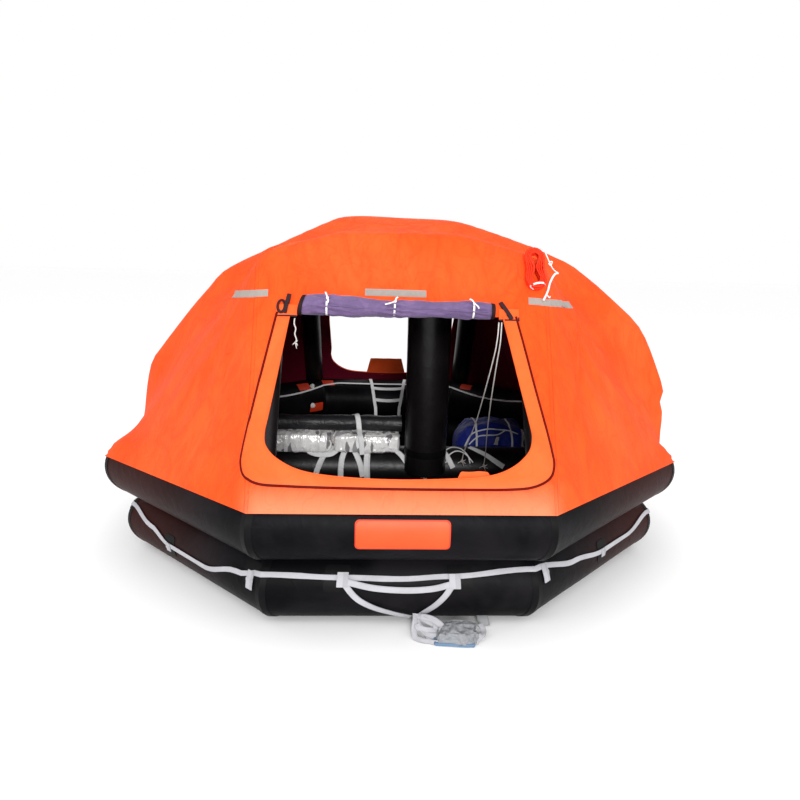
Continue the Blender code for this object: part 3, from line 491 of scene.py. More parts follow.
@dataclass(frozen=True)
class Foil(Finish):
    """Crumpled metal film."""

    scale: float = 24.0

    def detail(self, graph, place, cloth, color, wear):
        """Add the facets, a few painted near black as a painted reflection of dark surroundings."""
        drawn = graph.node("VectorMath", {0: place, 1: (1.5, 1.0, 0.45)}, operation="MULTIPLY").outputs[0]
        film = GROUPS.use(graph, "foil_crinkle", {"Vector": drawn, "Scale": self.scale})
        # Painted reflection: a few facets are painted near black, as tilted foil mirroring something dark looks.
        dark = graph.ramp(film.outputs["Facet"], 0.82, 0.88)
        color = graph.mix(graph.math("MULTIPLY", dark, 0.75), color, (0.06, 0.055, 0.06, 1.0))
        return color, self.roughness, bump(graph, film.outputs["Height"], 0.008, strength=0.7)


def tint(color: Color, share: float) -> Color:
    """A colour made lighter, or darker where the share is negative."""
    goal = 1.0 if share > 0 else 0.0
    return tuple(c + (goal - c) * abs(share) for c in color)


@dataclass(frozen=True)
class Palette:
    """Every finish on the raft."""

    # Canopy and door frame cloth: folds darkened with painted shade, and the end walls' lower strip made paler with
    # painted light.
    canopy: Finish = CoatedCloth("canopy_cloth_outer", "canopy_cloth", linear(249, 80, 24), linear(253, 112, 62),
                                 0.66, wear_scale=1.3, wear_share=0.4, dust=0.0, seam_offset=0.8143,
                                 mapping=Mapping.CLOTH, fold_shade=linear(222, 58, 18), specular=0.1, foot_painted_light=0.75,
                                 crease_depth=0.028, fine_creases=0.45, fold_share=0.4,
                                 stretch=(1.5, 1.5, 0.42))
    frame_strip: Finish = CoatedCloth("door_frame_cloth", "canopy_cloth", linear(251, 94, 38), linear(253, 118, 70),
                                      0.64, wear_scale=2.5, crease_depth=0.008, specular=0.14, foot_painted_light=0.5,
                                      dust=0.0, fold_share=0.3, fine_creases=0.4)
    lining: Finish = CoatedCloth("lining_cloth", "canopy_cloth", linear(118, 14, 40), linear(92, 10, 34), 0.8,
                                 wear_scale=1.5, crease_depth=0.014, specular=0.15)
    curtain: Finish = CoatedCloth("curtain_cloth_rolled", "curtain_cloth", linear(96, 76, 116), linear(132, 108, 150),
                                  0.7, wear_scale=7.0, wear_share=0.55, dust=0.15, crease_scale=9.0,
                                  crease_depth=0.012, fold_share=0.45, stretch=(0.7, 1.3, 1.3), weave_pitch=0.0012,
                                  sheen=0.15, specular=0.3)
    binding: Finish = CoatedCloth("curtain_binding", "curtain_cloth", linear(26, 8, 11), linear(44, 18, 20), 0.7,
                                  wear_scale=9.0, crease_scale=12.0, crease_depth=0.002, dust=0.0, specular=0.2)
    piping: Finish = CoatedCloth("door_seam_tape", "canopy_cloth", linear(86, 8, 3), linear(116, 20, 8), 0.6,
                                 wear_scale=8.0, crease_depth=0.001, dust=0.0, specular=0.1)
    # The outer rubber gets a painted reddish light on the hull's sides.
    rubber: Finish = Rubber("tube_rubber_outer", "tube_rubber", linear(7, 7, 9), linear(40, 37, 41), 0.44,
                            wear_scale=2.4, wear_share=0.55, dust=0.03, rough_spread=0.22, specular=0.04,
                            side_painted_light=0.7)
    inner_rubber: Finish = Rubber("cabin_rubber", "tube_rubber", linear(14, 11, 12), linear(36, 31, 32), 0.38,
                                  wear_scale=3.0, wear_share=0.5, dust=0.08, rough_spread=0.2, pucker_scale=4.5,
                                  specular=0.32)
    patch: Finish = Rubber("glued_patch_rubber", "tube_rubber", linear(9, 8, 10), linear(28, 25, 27), 0.44,
                           wear_scale=12.0, wear_share=0.4, pucker_depth=0.001, dust=0.04, specular=0.07)
    floor: Finish = Rubber("floor_rubber", "tube_rubber", linear(24, 22, 24), linear(50, 46, 48), 0.6,
                           wear_scale=2.0, pucker_scale=1.6, pucker_depth=0.012)
    line: Finish = Webbing("lifeline_webbing", "white_webbing", linear(176, 176, 181), linear(134, 132, 133), 0.75,
                           wear_scale=9.0, dust=0.1, width=0.025)
    strap: Finish = Webbing("strap_webbing", "white_webbing", linear(244, 244, 244), linear(206, 202, 200), 0.75,
                            wear_scale=9.0, dust=0.0, width=0.03, pitch=0.003)
    grey_strap: Finish = Webbing("grey_strap_webbing", "white_webbing", linear(148, 149, 151), linear(116, 116, 118),
                                 0.75, wear_scale=9.0, dust=0.0, width=0.05, pitch=0.003)
    tape: Finish = Webbing("tie_tape", "white_webbing", linear(232, 228, 230), linear(190, 184, 188), 0.8,
                           wear_scale=16.0, dust=0.1, width=0.012, pitch=0.002)
    black_strap: Finish = Webbing("black_loop_webbing", "black_webbing", linear(40, 16, 20), linear(66, 34, 36), 0.7,
                                  wear_scale=16.0, width=0.02, pitch=0.002)
    cylinder_strap: Finish = Webbing("cylinder_strap_webbing", "black_webbing", linear(28, 27, 29),
                                     linear(58, 56, 58), 0.75, wear_scale=12.0, width=0.04, pitch=0.003)
    pocket: Finish = CoatedCloth("water_pocket_cloth", "black_webbing", linear(24, 23, 25), linear(48, 46, 48), 0.75,
                                 crease_scale=6.0, crease_depth=0.006)
    cord: Finish = Rope("door_cord_braid", "white_webbing", linear(224, 217, 213), linear(186, 176, 172), 0.8,
                        wear_scale=10.0, girth=0.025, lay=0.012, strands=4.0)
    rope: Finish = Rope("heaving_rope", "orange_rope", linear(246, 48, 16), linear(250, 78, 38), 0.6,
                        wear_scale=14.0, girth=0.022, lay=0.024, specular=0.2, dust=0.0)
    foil: Finish = Foil("silver_foil", "foil", linear(255, 253, 252), linear(240, 238, 238), 0.26,
                        metallic=0.12, wear_share=0.2, rough_spread=0.2, specular=0.8)
    bag: Finish = CoatedCloth("equipment_bag_cloth", "blue_cloth", linear(22, 42, 150), linear(12, 22, 92), 0.5,
                              wear_scale=6.0, wear_share=0.6, crease_scale=7.0, crease_depth=0.02, fold_share=0.5,
                              fine_creases=0.5, stretch=(1.0, 1.0, 0.6), weave_pitch=0.002, sheen=0.1)
    roll_cloth: Finish = CoatedCloth("stowed_roll_cloth", "black_webbing", linear(26, 25, 28), linear(58, 56, 60),
                                     0.45, wear_scale=7.0, crease_scale=9.0, crease_depth=0.012, specular=0.4)
    step: Finish = CoatedCloth("ladder_step_cloth", "white_webbing", linear(96, 122, 148), linear(140, 156, 172), 0.7,
                               crease_scale=10.0, crease_depth=0.006)
    # The white cover is coloured grey, painted shade for the shadow it lies in; its folds take painted shade too.
    bundle: Finish = CoatedCloth("crumpled_white_cover", "white_webbing", linear(150, 152, 156),
                                 linear(112, 116, 122), 0.5, wear_scale=18.0,
                                 crease_scale=20.0, crease_depth=0.012, weave_pitch=0.0012,
                                 specular=0.4, fold_share=0.6, fine_creases=0.5)
    reflector: Finish = CoatedCloth("retro_reflective_tape", "sign_patch", linear(150, 141, 134),
                                    linear(122, 112, 106), 0.5, wear_scale=22.0,
                                    crease_scale=18.0, crease_depth=0.001, weave_pitch=0.006,
                                    weave_depth=0.0004, specular=0.4, dust=0.0)
    sign: Finish = CoatedCloth("sign_vinyl", "sign_patch", linear(232, 76, 30), linear(238, 98, 54), 0.45,
                               wear_scale=7.0, crease_depth=0.001, specular=0.25, dust=0.1)
    marker: Finish = CoatedCloth("marker_patch", "sign_patch", linear(214, 58, 26), linear(180, 44, 22), 0.6,
                                 wear_scale=12.0, crease_depth=0.001)
    paint: Finish = Finish("cylinder_enamel", "cylinder_paint", linear(148, 151, 155), linear(112, 112, 112), 0.32,
                           wear_scale=8.0, wear_share=0.4, metallic=0.3)
    brass: Finish = Finish("valve_brass", "cylinder_paint", linear(176, 142, 78), linear(120, 96, 58), 0.3,
                           wear_scale=20.0, metallic=1.0)
    plastic: Finish = Finish("valve_moulding", "valve_plastic", linear(226, 226, 224), linear(186, 184, 180), 0.4,
                             wear_scale=20.0)


@dataclass(frozen=True)
class HullSizes:
    """Sizes of the hull, as in the fixed frame."""

    sides: int = 8
    width: float = 3.24
    tube_radius: float = 0.171
    section_sides: int = 22
    skin_radius: float = 0.1704        # the round visual tube, within the frame's faceted one
    hem_lift: float = 0.01

    @property
    def facet(self) -> float:
        """Angle of one facet of the frame's tube."""
        return 2 * math.pi / self.section_sides

    @property
    def mitre(self) -> float:
        """Share of a corner's reach that a side's middle has."""
        return math.cos(math.pi / self.sides)

    @property
    def upper_apothem(self) -> float:
        """From the middle to the upper tube's centre line."""
        return self.width / 2 - self.tube_radius

    @property
    def pitch(self) -> float:
        """Distance between the two tubes' centre lines."""
        return 2 * self.tube_radius * math.cos(self.facet / 2) + 0.0003

    @property
    def lower_apothem(self) -> float:
        """From the middle to the lower tube's centre line."""
        return self.upper_apothem - self.pitch * math.sin(self.facet)

    @property
    def lower_z(self) -> float:
        """Height of the lower tube's centre line."""
        return self.tube_radius * math.cos(self.facet / 2)

    @property
    def upper_z(self) -> float:
        """Height of the upper tube's centre line."""
        return self.lower_z + self.pitch * math.cos(self.facet)


class Tube(Enum):
    """The two hull tubes."""

    UPPER = "upper"
    LOWER = "lower"


@dataclass(frozen=True)
class HullSurface:
    """Places on the hull tubes by compass angle and by angle round the tube, 0 outwards and 90 up."""

    sizes: HullSizes = HullSizes()

    def line(self, tube: Tube) -> tuple[float, float]:
        """A tube's apothem and height."""
        sizes = self.sizes
        return (sizes.upper_apothem, sizes.upper_z) if tube is Tube.UPPER else (sizes.lower_apothem, sizes.lower_z)

    def at(self, tube: Tube, compass: float, turn: float, lift: float = 0.0) -> Station:
        """A point over a tube's skin.

        Args:
            tube: Which tube.
            compass: Direction from the middle, in degrees from +X towards +Y.
            turn: Angle round the tube in degrees.
            lift: Height over the skin in metres.

        Returns:
            The point and the way out of the skin.
        """
        apothem, height = self.line(tube)
        way, round_it = math.radians(compass), math.radians(turn)
        step = 2 * math.pi / self.sizes.sides
        heading = round(way / step) * step
        reach = self.sizes.skin_radius + lift
        distance = (apothem + reach * math.cos(round_it)) / math.cos(way - heading)
        point = Vector((distance * math.cos(way), distance * math.sin(way), height + reach * math.sin(round_it)))
        level = math.cos(round_it)
        return point, Vector((level * math.cos(heading), level * math.sin(heading), math.sin(round_it)))

    def on_side(self, tube: Tube, side: float, along: float, turn: float, lift: float = 0.0) -> Station:
        """A point by the side's compass angle and the distance along it, to the right as seen from outside."""
        apothem, height = self.line(tube)
        heading, round_it = math.radians(side), math.radians(turn)
        reach = self.sizes.skin_radius + lift
        out = Vector((math.cos(heading), math.sin(heading), 0))
        right = Vector((-math.sin(heading), math.cos(heading), 0))
        point = out * (apothem + reach * math.cos(round_it)) + right * along
        point.z = height + reach * math.sin(round_it)
        return point, out * math.cos(round_it) + Vector((0, 0, math.sin(round_it)))


HULL = HullSurface()


def unit(value: float) -> float:
    """A value held between 0 and 1."""
    return max(0.0, min(1.0, value))


def relax(shape: bmesh.types.BMesh, points: Sequence[bmesh.types.BMVert], factor: float) -> None:
    """Move points part of the way to the middle of their neighbours."""
    bmesh.ops.smooth_vert(shape, verts=points, factor=factor, use_axis_x=True, use_axis_y=True, use_axis_z=True)


def rounded(points: Sequence[Sequence[float]], radius: float, steps: int = 6) -> list[Vector]:
    """A path with each inner corner turned on an arc-like bend."""
    path = [Vector(points[0])]
    for before, here, after in zip(points, points[1:], points[2:]):
        here = Vector(here)
        back = (Vector(before) - here).normalized()
        ahead = (Vector(after) - here).normalized()
        reach = radius * math.tan((math.pi - back.angle(ahead)) / 2)
        for k in range(steps + 1):
            t = k / steps
            start, end = here + back * reach, here + ahead * reach
            path.append(start * (1 - t) ** 2 + here * (2 * t * (1 - t)) + end * t ** 2)
    path.append(Vector(points[-1]))
    return path


def smooth_path(points: Sequence[Sequence[float]], count: int) -> list[Vector]:
    """A smooth curve through the points, sampled count times in each span."""
    spots = [Vector(p) for p in points]
    spots = [spots[0] * 2 - spots[1], *spots, spots[-1] * 2 - spots[-2]]
    path = []
    for a, b, c, d in zip(spots, spots[1:], spots[2:], spots[3:]):
        for k in range(count):
            t = k / count
            path.append(0.5 * (2 * b + (c - a) * t + (2 * a - 5 * b + 4 * c - d) * t ** 2
                               + (3 * b - a - 3 * c + d) * t ** 3))
    path.append(spots[-2])
    return path


def path_frames(points: Sequence[Vector], scales: Optional[Sequence[float]] = None) -> list[Matrix]:
    """Frames along a path without twist: Z along it, the origin on it, scaled across it."""
    frames = []
    across = None
    for k, point in enumerate(points):
        ahead = (points[min(k + 1, len(points) - 1)] - points[max(k - 1, 0)]).normalized()
        if across is None:
            across = ahead.orthogonal().normalized()
        across = (across - ahead * across.dot(ahead)).normalized()
        up = ahead.cross(across)
        scale = scales[k] if scales else 1.0
        turn = Matrix((across * scale, up * scale, ahead)).transposed().to_4x4()
        frames.append(Matrix.Translation(point) @ turn)
    return frames


def strap_frames(stations: Sequence[Station], joined: bool = False) -> list[Matrix]:
    """Frames along a strap: X across it, Y out of its face, Z along it."""
    frames = []
    last = len(stations) - 1
    for k, (point, out) in enumerate(stations):
        before = stations[(k - 1) % last if joined else max(k - 1, 0)][0]
        after = stations[(k + 1) % last if joined else min(k + 1, last)][0]
        ahead = (after - before).normalized()
        face = (out - ahead * out.dot(ahead)).normalized()
        turn = Matrix((face.cross(ahead), face, ahead)).transposed().to_4x4()
        frames.append(Matrix.Translation(point) @ turn)
    return frames


@dataclass
class Sweep:
    """A section carried through frames by extruding it, with a map in metres round and along it."""

    frames: Sequence[Matrix]
    joined: bool = False

    def tube(self, radius: float, segments: int = 32, capped: bool = True) -> bmesh.types.BMesh:
        """A round tube.

        Args:
            radius: Radius before a frame's own scale.
            segments: Points round it.
            capped: Whether its ends are closed.

        Returns:
            The tube's bmesh.
        """
        shape = bmesh.new()
        around, along = self._layers(shape)
        made = bmesh.ops.create_circle(shape, cap_ends=False, segments=segments, radius=radius, matrix=self.frames[0])
        for k, point in enumerate(made["verts"]):
            point[around] = k / segments
        self._carry(shape, shape.edges[:], along)
        self._map(shape, around, along, 2 * math.pi * radius, True)
        if self.joined:
            bmesh.ops.remove_doubles(shape, verts=shape.verts, dist=0.0001)
        elif capped:
            bmesh.ops.holes_fill(shape, edges=[e for e in shape.edges if e.is_boundary])
        return shape

    def strap(self, width: float, thickness: float, crown: float = 0.0, cuts: int = 4) -> bmesh.types.BMesh:
        """A flat strap.

        Args:
            width: Width across.
            thickness: Thickness, grown out of its face.
            crown: How far its middle stands above its edges.
            cuts: Strips across it.

        Returns:
            The strap's bmesh, closed.
        """
        shape = bmesh.new()
        around, along = self._layers(shape)
        row = []
        for k in range(cuts + 1):
            t = k / cuts
            local = Vector(((t - 0.5) * width, crown * 4 * t * (1 - t), 0))
            row.append(shape.verts.new(self.frames[0] @ local))
            row[-1][around] = t
        edges = [shape.edges.new(pair) for pair in zip(row, row[1:])]
        self._carry(shape, edges, along)
        self._map(shape, around, along, width, False)
        if self.joined:
            bmesh.ops.remove_doubles(shape, verts=shape.verts, dist=0.0001)
        bmesh.ops.recalc_face_normals(shape, faces=shape.faces)
        middle = shape.faces[len(shape.faces) // 2]
        nearest = min(self.frames, key=lambda f: (f.translation - middle.calc_center_median()).length)
        if middle.normal.dot(nearest.col[1].xyz) > 0:
            bmesh.ops.reverse_faces(shape, faces=shape.faces)
        bmesh.ops.solidify(shape, geom=shape.faces[:], thickness=thickness)
        return shape

    @staticmethod
    def _layers(shape: bmesh.types.BMesh) -> tuple:
        """The layers that hold each point's place round and along the section's way."""
        return shape.verts.layers.float.new("around"), shape.verts.layers.float.new("along")

    def _carry(self, shape: bmesh.types.BMesh, edges: Iterable, along: object) -> None:
        """Extrude the section's edges from frame to frame."""
        edges = list(edges)
        travelled = 0.0
        for before, after in zip(self.frames, self.frames[1:]):
            travelled += (after.translation - before.translation).length
            grown = bmesh.ops.extrude_edge_only(shape, edges=edges)["geom"]
            points = [g for g in grown if isinstance(g, bmesh.types.BMVert)]
            edges = [g for g in grown if isinstance(g, bmesh.types.BMEdge)]
            bmesh.ops.transform(shape, matrix=after @ before.inverted(), verts=points)
            for point in points:
                point[along] = travelled

    @staticmethod
    def _map(shape: bmesh.types.BMesh, around: object, along: object, girth: float, wraps: bool) -> None:
        """Write the map, with the strip that closes the section kept whole."""
        uv = shape.loops.layers.uv.new("UVMap")
        for face in shape.faces:
            turns = [loop.vert[around] for loop in face.loops]
            if wraps and max(turns) - min(turns) > 0.5:
                turns = [t + 1 if t < 0.5 else t for t in turns]
            for loop, turn in zip(face.loops, turns):
                loop[uv].uv = (turn * girth, loop.vert[along])


def ruffle(shape: bmesh.types.BMesh, depth: float, scale: float, seed: float = 0.0,
           points: Optional[Iterable] = None) -> None:
    """Move points along their normals by smooth noise.

    Args:
        shape: The bmesh.
        depth: Largest move in metres.
        scale: Waves per metre.
        seed: Offset that makes one piece unlike the next.
        points: The points to move, or all of them.
    """
    shape.normal_update()
    moves = [(p, p.normal * (depth * noise.noise(p.co * scale + Vector((seed, seed * 1.7, -seed)))))
             for p in (points or shape.verts)]
    for point, move in moves:
        point.co += move


def finish_piece(name: str, shape: bmesh.types.BMesh, finish: Finish, body: Body = Body.RAFT,
                 nodes: Sequence[str] = (), sharp: float = 35.0, normals: bool = True) -> bpy.types.Object:
    """Make a bmesh a piece of the raft.

    Args:
        name: The piece's name.
        shape: Its bmesh, which is freed.
        finish: Its finish.
        body: The body it rides on.
        nodes: CAD nodes that it stands for.
        sharp: Edges sharper than this many degrees stay sharp.
        normals: Whether the faces are turned outwards here.

    Returns:
        The piece.
    """
    if normals:
        bmesh.ops.recalc_face_normals(shape, faces=shape.faces)
    if body is Body.RAFT:
        for point in shape.verts:
            point.co.z = max(point.co.z, 0.0004)
    mesh = bpy.data.meshes.new(name)
    shape.to_mesh(mesh)
    shape.free()
    mesh.shade_smooth()
    mesh.set_sharp_from_angle(angle=math.radians(sharp))
    piece = bpy.data.objects.new(name, mesh)
    bpy.context.scene.collection.objects.link(piece)
    mesh.materials.append(finish.material())
    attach(piece, body.value)
    if nodes:
        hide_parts(*nodes)
    LOG.info("%s: %d faces on %s", name, len(mesh.polygons), body.value)
    return piece


def join_shapes(shapes: Sequence[bmesh.types.BMesh]) -> bmesh.types.BMesh:
    """Several bmeshes as one, the first one kept and the others freed."""
    first = shapes[0]
    for other in shapes[1:]:
        mesh = bpy.data.meshes.new("part")
        other.to_mesh(mesh)
        other.free()
        first.from_mesh(mesh)
        bpy.data.meshes.remove(mesh)
    return first


def pillow(size: Vector, place: Vector, cuts: int = 9, bulge: float = 0.02, soft: float = 0.5,
           turn: float = 0.0) -> bmesh.types.BMesh:
    """A stuffed box: its edges rounded and its faces swollen.

    Args:
        size: Width, depth and height.
        place: Its middle.
        cuts: Cuts along each edge.
        bulge: How far a face's middle swells.
        soft: How round the corners are, 0 to 1.
        turn: Turn about Z in radians.

    Returns:
        The pillow's bmesh.
    """
    shape = bmesh.new()
    bmesh.ops.create_cube(shape, size=2.0)
    bmesh.ops.subdivide_edges(shape, edges=shape.edges[:], cuts=cuts, use_grid_fill=True)
    inner = 1 - soft * 0.45
    for point in shape.verts:
        core = Vector(max(-inner, min(inner, c)) for c in point.co)
        rest = point.co - core
        if rest.length:
            rest = rest.normalized() * (1 - inner)
        flat = core + rest
        swell = 1.0
        for c in point.co:
            swell *= 1 - c * c if abs(c) < 0.999 else 1.0
        point.co = Vector(f * s / 2 for f, s in zip(flat, size)) + point.co.normalized() * (bulge * swell)
    bmesh.ops.rotate(shape, verts=shape.verts, matrix=Matrix.Rotation(turn, 3, "Z"))
    bmesh.ops.translate(shape, verts=shape.verts, vec=place)
    return shape


def swell(shape: bmesh.types.BMesh, cap: float, voxel: float = 0.006, pressure: float = 4.0,
          held: Optional[Callable[[Vector], bool]] = None, frames: int = 20) -> bmesh.types.BMesh:
    """Let a padded piece swell as cloth under the pressure of its filling.

    Args:
        shape: The piece, a little smaller than it ends, which is freed.
        cap: How far a point may move, in metres.
        voxel: Mesh size of the cloth in metres.
        pressure: Pressure of the filling.
        held: Tells whether a place is held by a strap or a seam.
        frames: Steps of the simulation.

    Returns:
        The swollen piece.
    """
    scene = bpy.context.scene
    mesh = bpy.data.meshes.new("padding")
    shape.to_mesh(mesh)
    shape.free()
    item = bpy.data.objects.new("padding", mesh)
    scene.collection.objects.link(item)
    even = item.modifiers.new("even", "REMESH")
    even.mode = "VOXEL"
    even.voxel_size = voxel
    fabric = bpy.data.meshes.new_from_object(item.evaluated_get(bpy.context.evaluated_depsgraph_get()))
    item.modifiers.clear()
    item.data = fabric
    start = [point.co.copy() for point in fabric.vertices]
    cloth = item.modifiers.new("cloth", "CLOTH")
    settings = cloth.settings
    if held:
        group = item.vertex_groups.new(name="held")
        group.add([k for k, point in enumerate(start) if held(point)], 1.0, "REPLACE")
        settings.vertex_group_mass = group.name
    settings.use_pressure = True
    settings.uniform_pressure_force = pressure
    settings.effector_weights.gravity = 0.0
    cloth.collision_settings.use_collision = False
    cloth.point_cache.frame_start, cloth.point_cache.frame_end = 1, frames
    for frame in range(1, frames + 1):
        scene.frame_set(frame)
    swollen = item.evaluated_get(bpy.context.evaluated_depsgraph_get()).data
    ends = [point.co.copy() for point in swollen.vertices]
    for point, before, after in zip(fabric.vertices, start, ends):
        move = after - before
        point.co = before + move * min(1.0, cap / max(move.length, 1e-6))
    result = bmesh.new()
    result.from_mesh(fabric)
    bpy.data.objects.remove(item)
    bpy.data.meshes.remove(mesh)
    bpy.data.meshes.remove(fabric)
    scene.frame_set(1)
    LOG.info("swollen: %d points, moved up to %.4f m", len(start),
             min(cap, max((b - a).length for a, b in zip(start, ends))))
    return result


class Assembly:
    """A sub-assembly of the raft, which knows the palette."""

    def __init__(self, palette: Palette) -> None:
        """Keep the palette."""
        self.palette = palette

    def build(self) -> None:
        """Make the sub-assembly's pieces."""
        raise NotImplementedError


def flat_patch(width: float, height: float, corner: float, columns: int = 1, rows: int = 1) -> bmesh.types.BMesh:
    """A flat patch with round corners, cut into strips so that it can follow a curve.

    Args:
        width: Size along X.
        height: Size along Y.
        corner: Radius of its corners.
        columns: Strips across X.
        rows: Strips across Y.

    Returns:
        The patch's bmesh, in the XY plane, mapped in metres.
    """
    shape = bmesh.new()
    bmesh.ops.create_grid(shape, x_segments=1, y_segments=1, size=0.5)
    bmesh.ops.scale(shape, vec=(width, height, 1), verts=shape.verts)
    if corner:
        bmesh.ops.bevel(shape, geom=shape.verts[:], offset=corner, segments=5, affect="VERTICES", profile=0.5,
                        material=-1)
    for count, size, way in ((columns, width, Vector((1, 0, 0))), (rows, height, Vector((0, 1, 0)))):
        for k in range(1, count):
            geom = shape.verts[:] + shape.edges[:] + shape.faces[:]
            bmesh.ops.bisect_plane(shape, geom=geom, plane_co=way * ((k / count - 0.5) * size), plane_no=way)
    uv = shape.loops.layers.uv.new("UVMap")
    for face in shape.faces:
        for loop in face.loops:
            loop[uv].uv = loop.vert.co.xy + Vector((width / 2, height / 2))
    return shape


def wrap(shape: bmesh.types.BMesh, place: Callable[[float, float], Station], thickness: float) -> bmesh.types.BMesh:
    """Lay a flat patch on a surface and give it thickness outwards.

    Args:
        shape: The flat patch.
        place: Gives the point and way out for the patch's X and Y.
        thickness: Thickness in metres.

    Returns:
        The same bmesh, closed.
    """
    outs = []
    for vert in shape.verts:
        point, out = place(vert.co.x, vert.co.y)
        vert.co = point
        outs.append(out)
    shape.normal_update()
    facing = sum(v.normal.dot(o) for v, o in zip(shape.verts, outs))
    if facing > 0:
        bmesh.ops.reverse_faces(shape, faces=shape.faces)
    bmesh.ops.solidify(shape, geom=shape.faces[:], thickness=thickness)
    return shape


def tape_along(points: Sequence[Vector], out: Callable[[Vector], Vector], width: float, thickness: float,
               count: int = 8) -> bmesh.types.BMesh:
    """A tape along a smooth curve through the points, its face turned to the way out at each point."""
    path = smooth_path(points, count)
    return Sweep(strap_frames([(p, out(p)) for p in path])).strap(width, thickness, cuts=2)


@dataclass
class Canopy(Assembly):
    """The canopy: one cloth over both hoops and the arch, its lining, and what is sewn to it."""

    palette: Palette
    crest_z: float = 1.8
    crest_y: float = 0.92
    crest_half: float = 0.28
    shoulder_z: float = 1.69
    shoulder_half: float = 0.7
    arch_ends: tuple[float, float] = (-0.05, -0.45)
    split: float = 3 / 7
    columns: int = 14
    rows: int = 16
    fineness: int = 6
    lining_inset: float = 0.012
    cloth: float = 0.0016
    pulls: int = 120
    pull_out: float = 0.0018
    fan_count: float = 12.0
    fan_depth: float = 0.025
    fan_depth_front: float = 0.034
    opening: tuple = ((-0.528, 1.4), (-0.552, 1.25), (-0.576, 1.1), (-0.6, 0.96), (-0.611, 0.89),
                      (-0.6, 0.838), (-0.545, 0.788), (-0.437, 0.744), (-0.265, 0.722), (-0.018, 0.713),
                      (0.243, 0.72), (0.392, 0.734), (0.49, 0.77), (0.558, 0.826), (0.578, 0.885),
                      (0.569, 0.95), (0.541, 1.08), (0.508, 1.24), (0.474, 1.4))
    seam: tuple = ((-0.588, 1.4), (-0.612, 1.28), (-0.646, 1.11), (-0.678, 0.95), (-0.702, 0.83),
                   (-0.705, 0.775), (-0.682, 0.725), (-0.62, 0.695), (-0.5, 0.687), (-0.3, 0.682),
                   (-0.018, 0.679), (0.26, 0.679), (0.46, 0.681), (0.57, 0.692), (0.643, 0.726),
                   (0.667, 0.778), (0.66, 0.84), (0.634, 0.96), (0.602, 1.1), (0.568, 1.26), (0.536, 1.4))
    rear_opening_share: float = 0.86
    trees: dict = field(default_factory=dict)
    supports: list = field(default_factory=list)

    def __post_init__(self) -> None:
        """Work out the hem and the wall's slope from the hull."""
        sizes = HULL.sizes
        lifted = sizes.tube_radius + sizes.hem_lift
        ends, sides = math.radians(30), math.radians(21)
        self.hem_reach = lifted
        self.hem_y = sizes.upper_apothem + lifted * math.cos(ends)
        self.hem_z = sizes.upper_z + lifted * math.sin(ends)
        self.side_x = sizes.upper_apothem + lifted * math.cos(sides)
        self.side_z = sizes.upper_z + lifted * math.sin(sides)
        self.lean = (self.hem_y - self.crest_y) / (self.crest_z - self.hem_z)
        self.tilt = math.atan2(1.0, self.lean)
        self.arch_left = {0: (0.0, 1.925), 1: (-0.33, 1.935), 3: (-0.7, 1.768), 4: (-1.07, 1.6),
                          6: (-1.57, 1.01), 7: (-self.side_x, self.side_z)}
        self.arch_right = {0: (0.0, 1.925), 1: (0.35, 1.913), 3: (0.7, 1.805), 4: (1.03, 1.69),
                           5: (1.476, 1.328), 6: (1.632, 0.935), 7: (self.side_x, self.side_z)}

    def wall_y(self, z: float) -> float:
        """The front wall's outer face."""
        return -self.hem_y + (z - self.hem_z) * self.lean

    def wall_out(self, end: End) -> Vector:
        """The way out of an end wall."""
        return Vector((0, end * math.sin(self.tilt), math.cos(self.tilt)))

    def wall_frame(self, z: float, x: float = 0.0, lift: float = 0.0, end: End = End.FRONT) -> Matrix:
        """A frame on an end wall: X along it, Y up its slope, Z out of it."""
        out = Vector((0, -math.sin(self.tilt), math.cos(self.tilt)))
        spot = Vector((x, self.wall_y(z), z)) + out * lift
        heading = Matrix.Rotation(0.0 if end is End.FRONT else math.pi, 4, "Z")
        return heading @ Matrix.Translation(spot) @ Matrix.Rotation(self.tilt, 4, "X")

    def arch_y(self, x: float) -> float:
        """The arch leans towards the front door on its right."""
        t = (x + self.side_x) / (2 * self.side_x)
        return self.arch_ends[0] * (1 - t) + self.arch_ends[1] * t

    @staticmethod
    def between(table: dict, station: float) -> tuple[float, float]:
        """A point of a table of (x, z), linear between its keys."""
        keys = sorted(table)
        for low, high in zip(keys, keys[1:]):
            if station <= high:
                t = (station - low) / (high - low)
                return tuple(a * (1 - t) + b * t for a, b in zip(table[low], table[high]))
        return table[keys[-1]]

    def hem_point(self, u: float, end: float) -> Vector:
        """The hem along an end wall and the two diagonals beside it."""
        slope = math.tan(math.pi / HULL.sizes.sides)
        corner = self.hem_y * slope
        side = math.copysign(1.0, u)
        if abs(u) <= self.split:
            return Vector((u / self.split * corner, end * self.hem_y, self.hem_z))
        t = (abs(u) - self.split) / (1 - self.split)
        near = Vector((side * corner, end * self.hem_y, self.hem_z))
        return near.lerp(Vector((side * self.side_x, end * self.side_x * slope, self.side_z)), t)

    def hoop_point(self, u: float, end: float) -> Vector:
        """The cloth over a hoop and past its leg."""
        side = math.copysign(1.0, u)
        crest_share = self.crest_half / self.shoulder_half * self.split
        if abs(u) <= crest_share:
            return Vector((u / crest_share * self.crest_half, end * self.crest_y, self.crest_z))
        shoulder = Vector((side * self.shoulder_half, -end * self.wall_y(self.shoulder_z), self.shoulder_z))
        if abs(u) <= self.split:
            t = (abs(u) - crest_share) / (self.split - crest_share)
            return Vector((side * self.crest_half, end * self.crest_y, self.crest_z)).lerp(shoulder, t)
        t = (abs(u) - self.split) / (1 - self.split)
        foot = Vector((side * self.side_x, self.arch_y(side * self.side_x), self.side_z))
        return shoulder.lerp(foot.lerp(self.hem_point(side, end), 0.5), t)

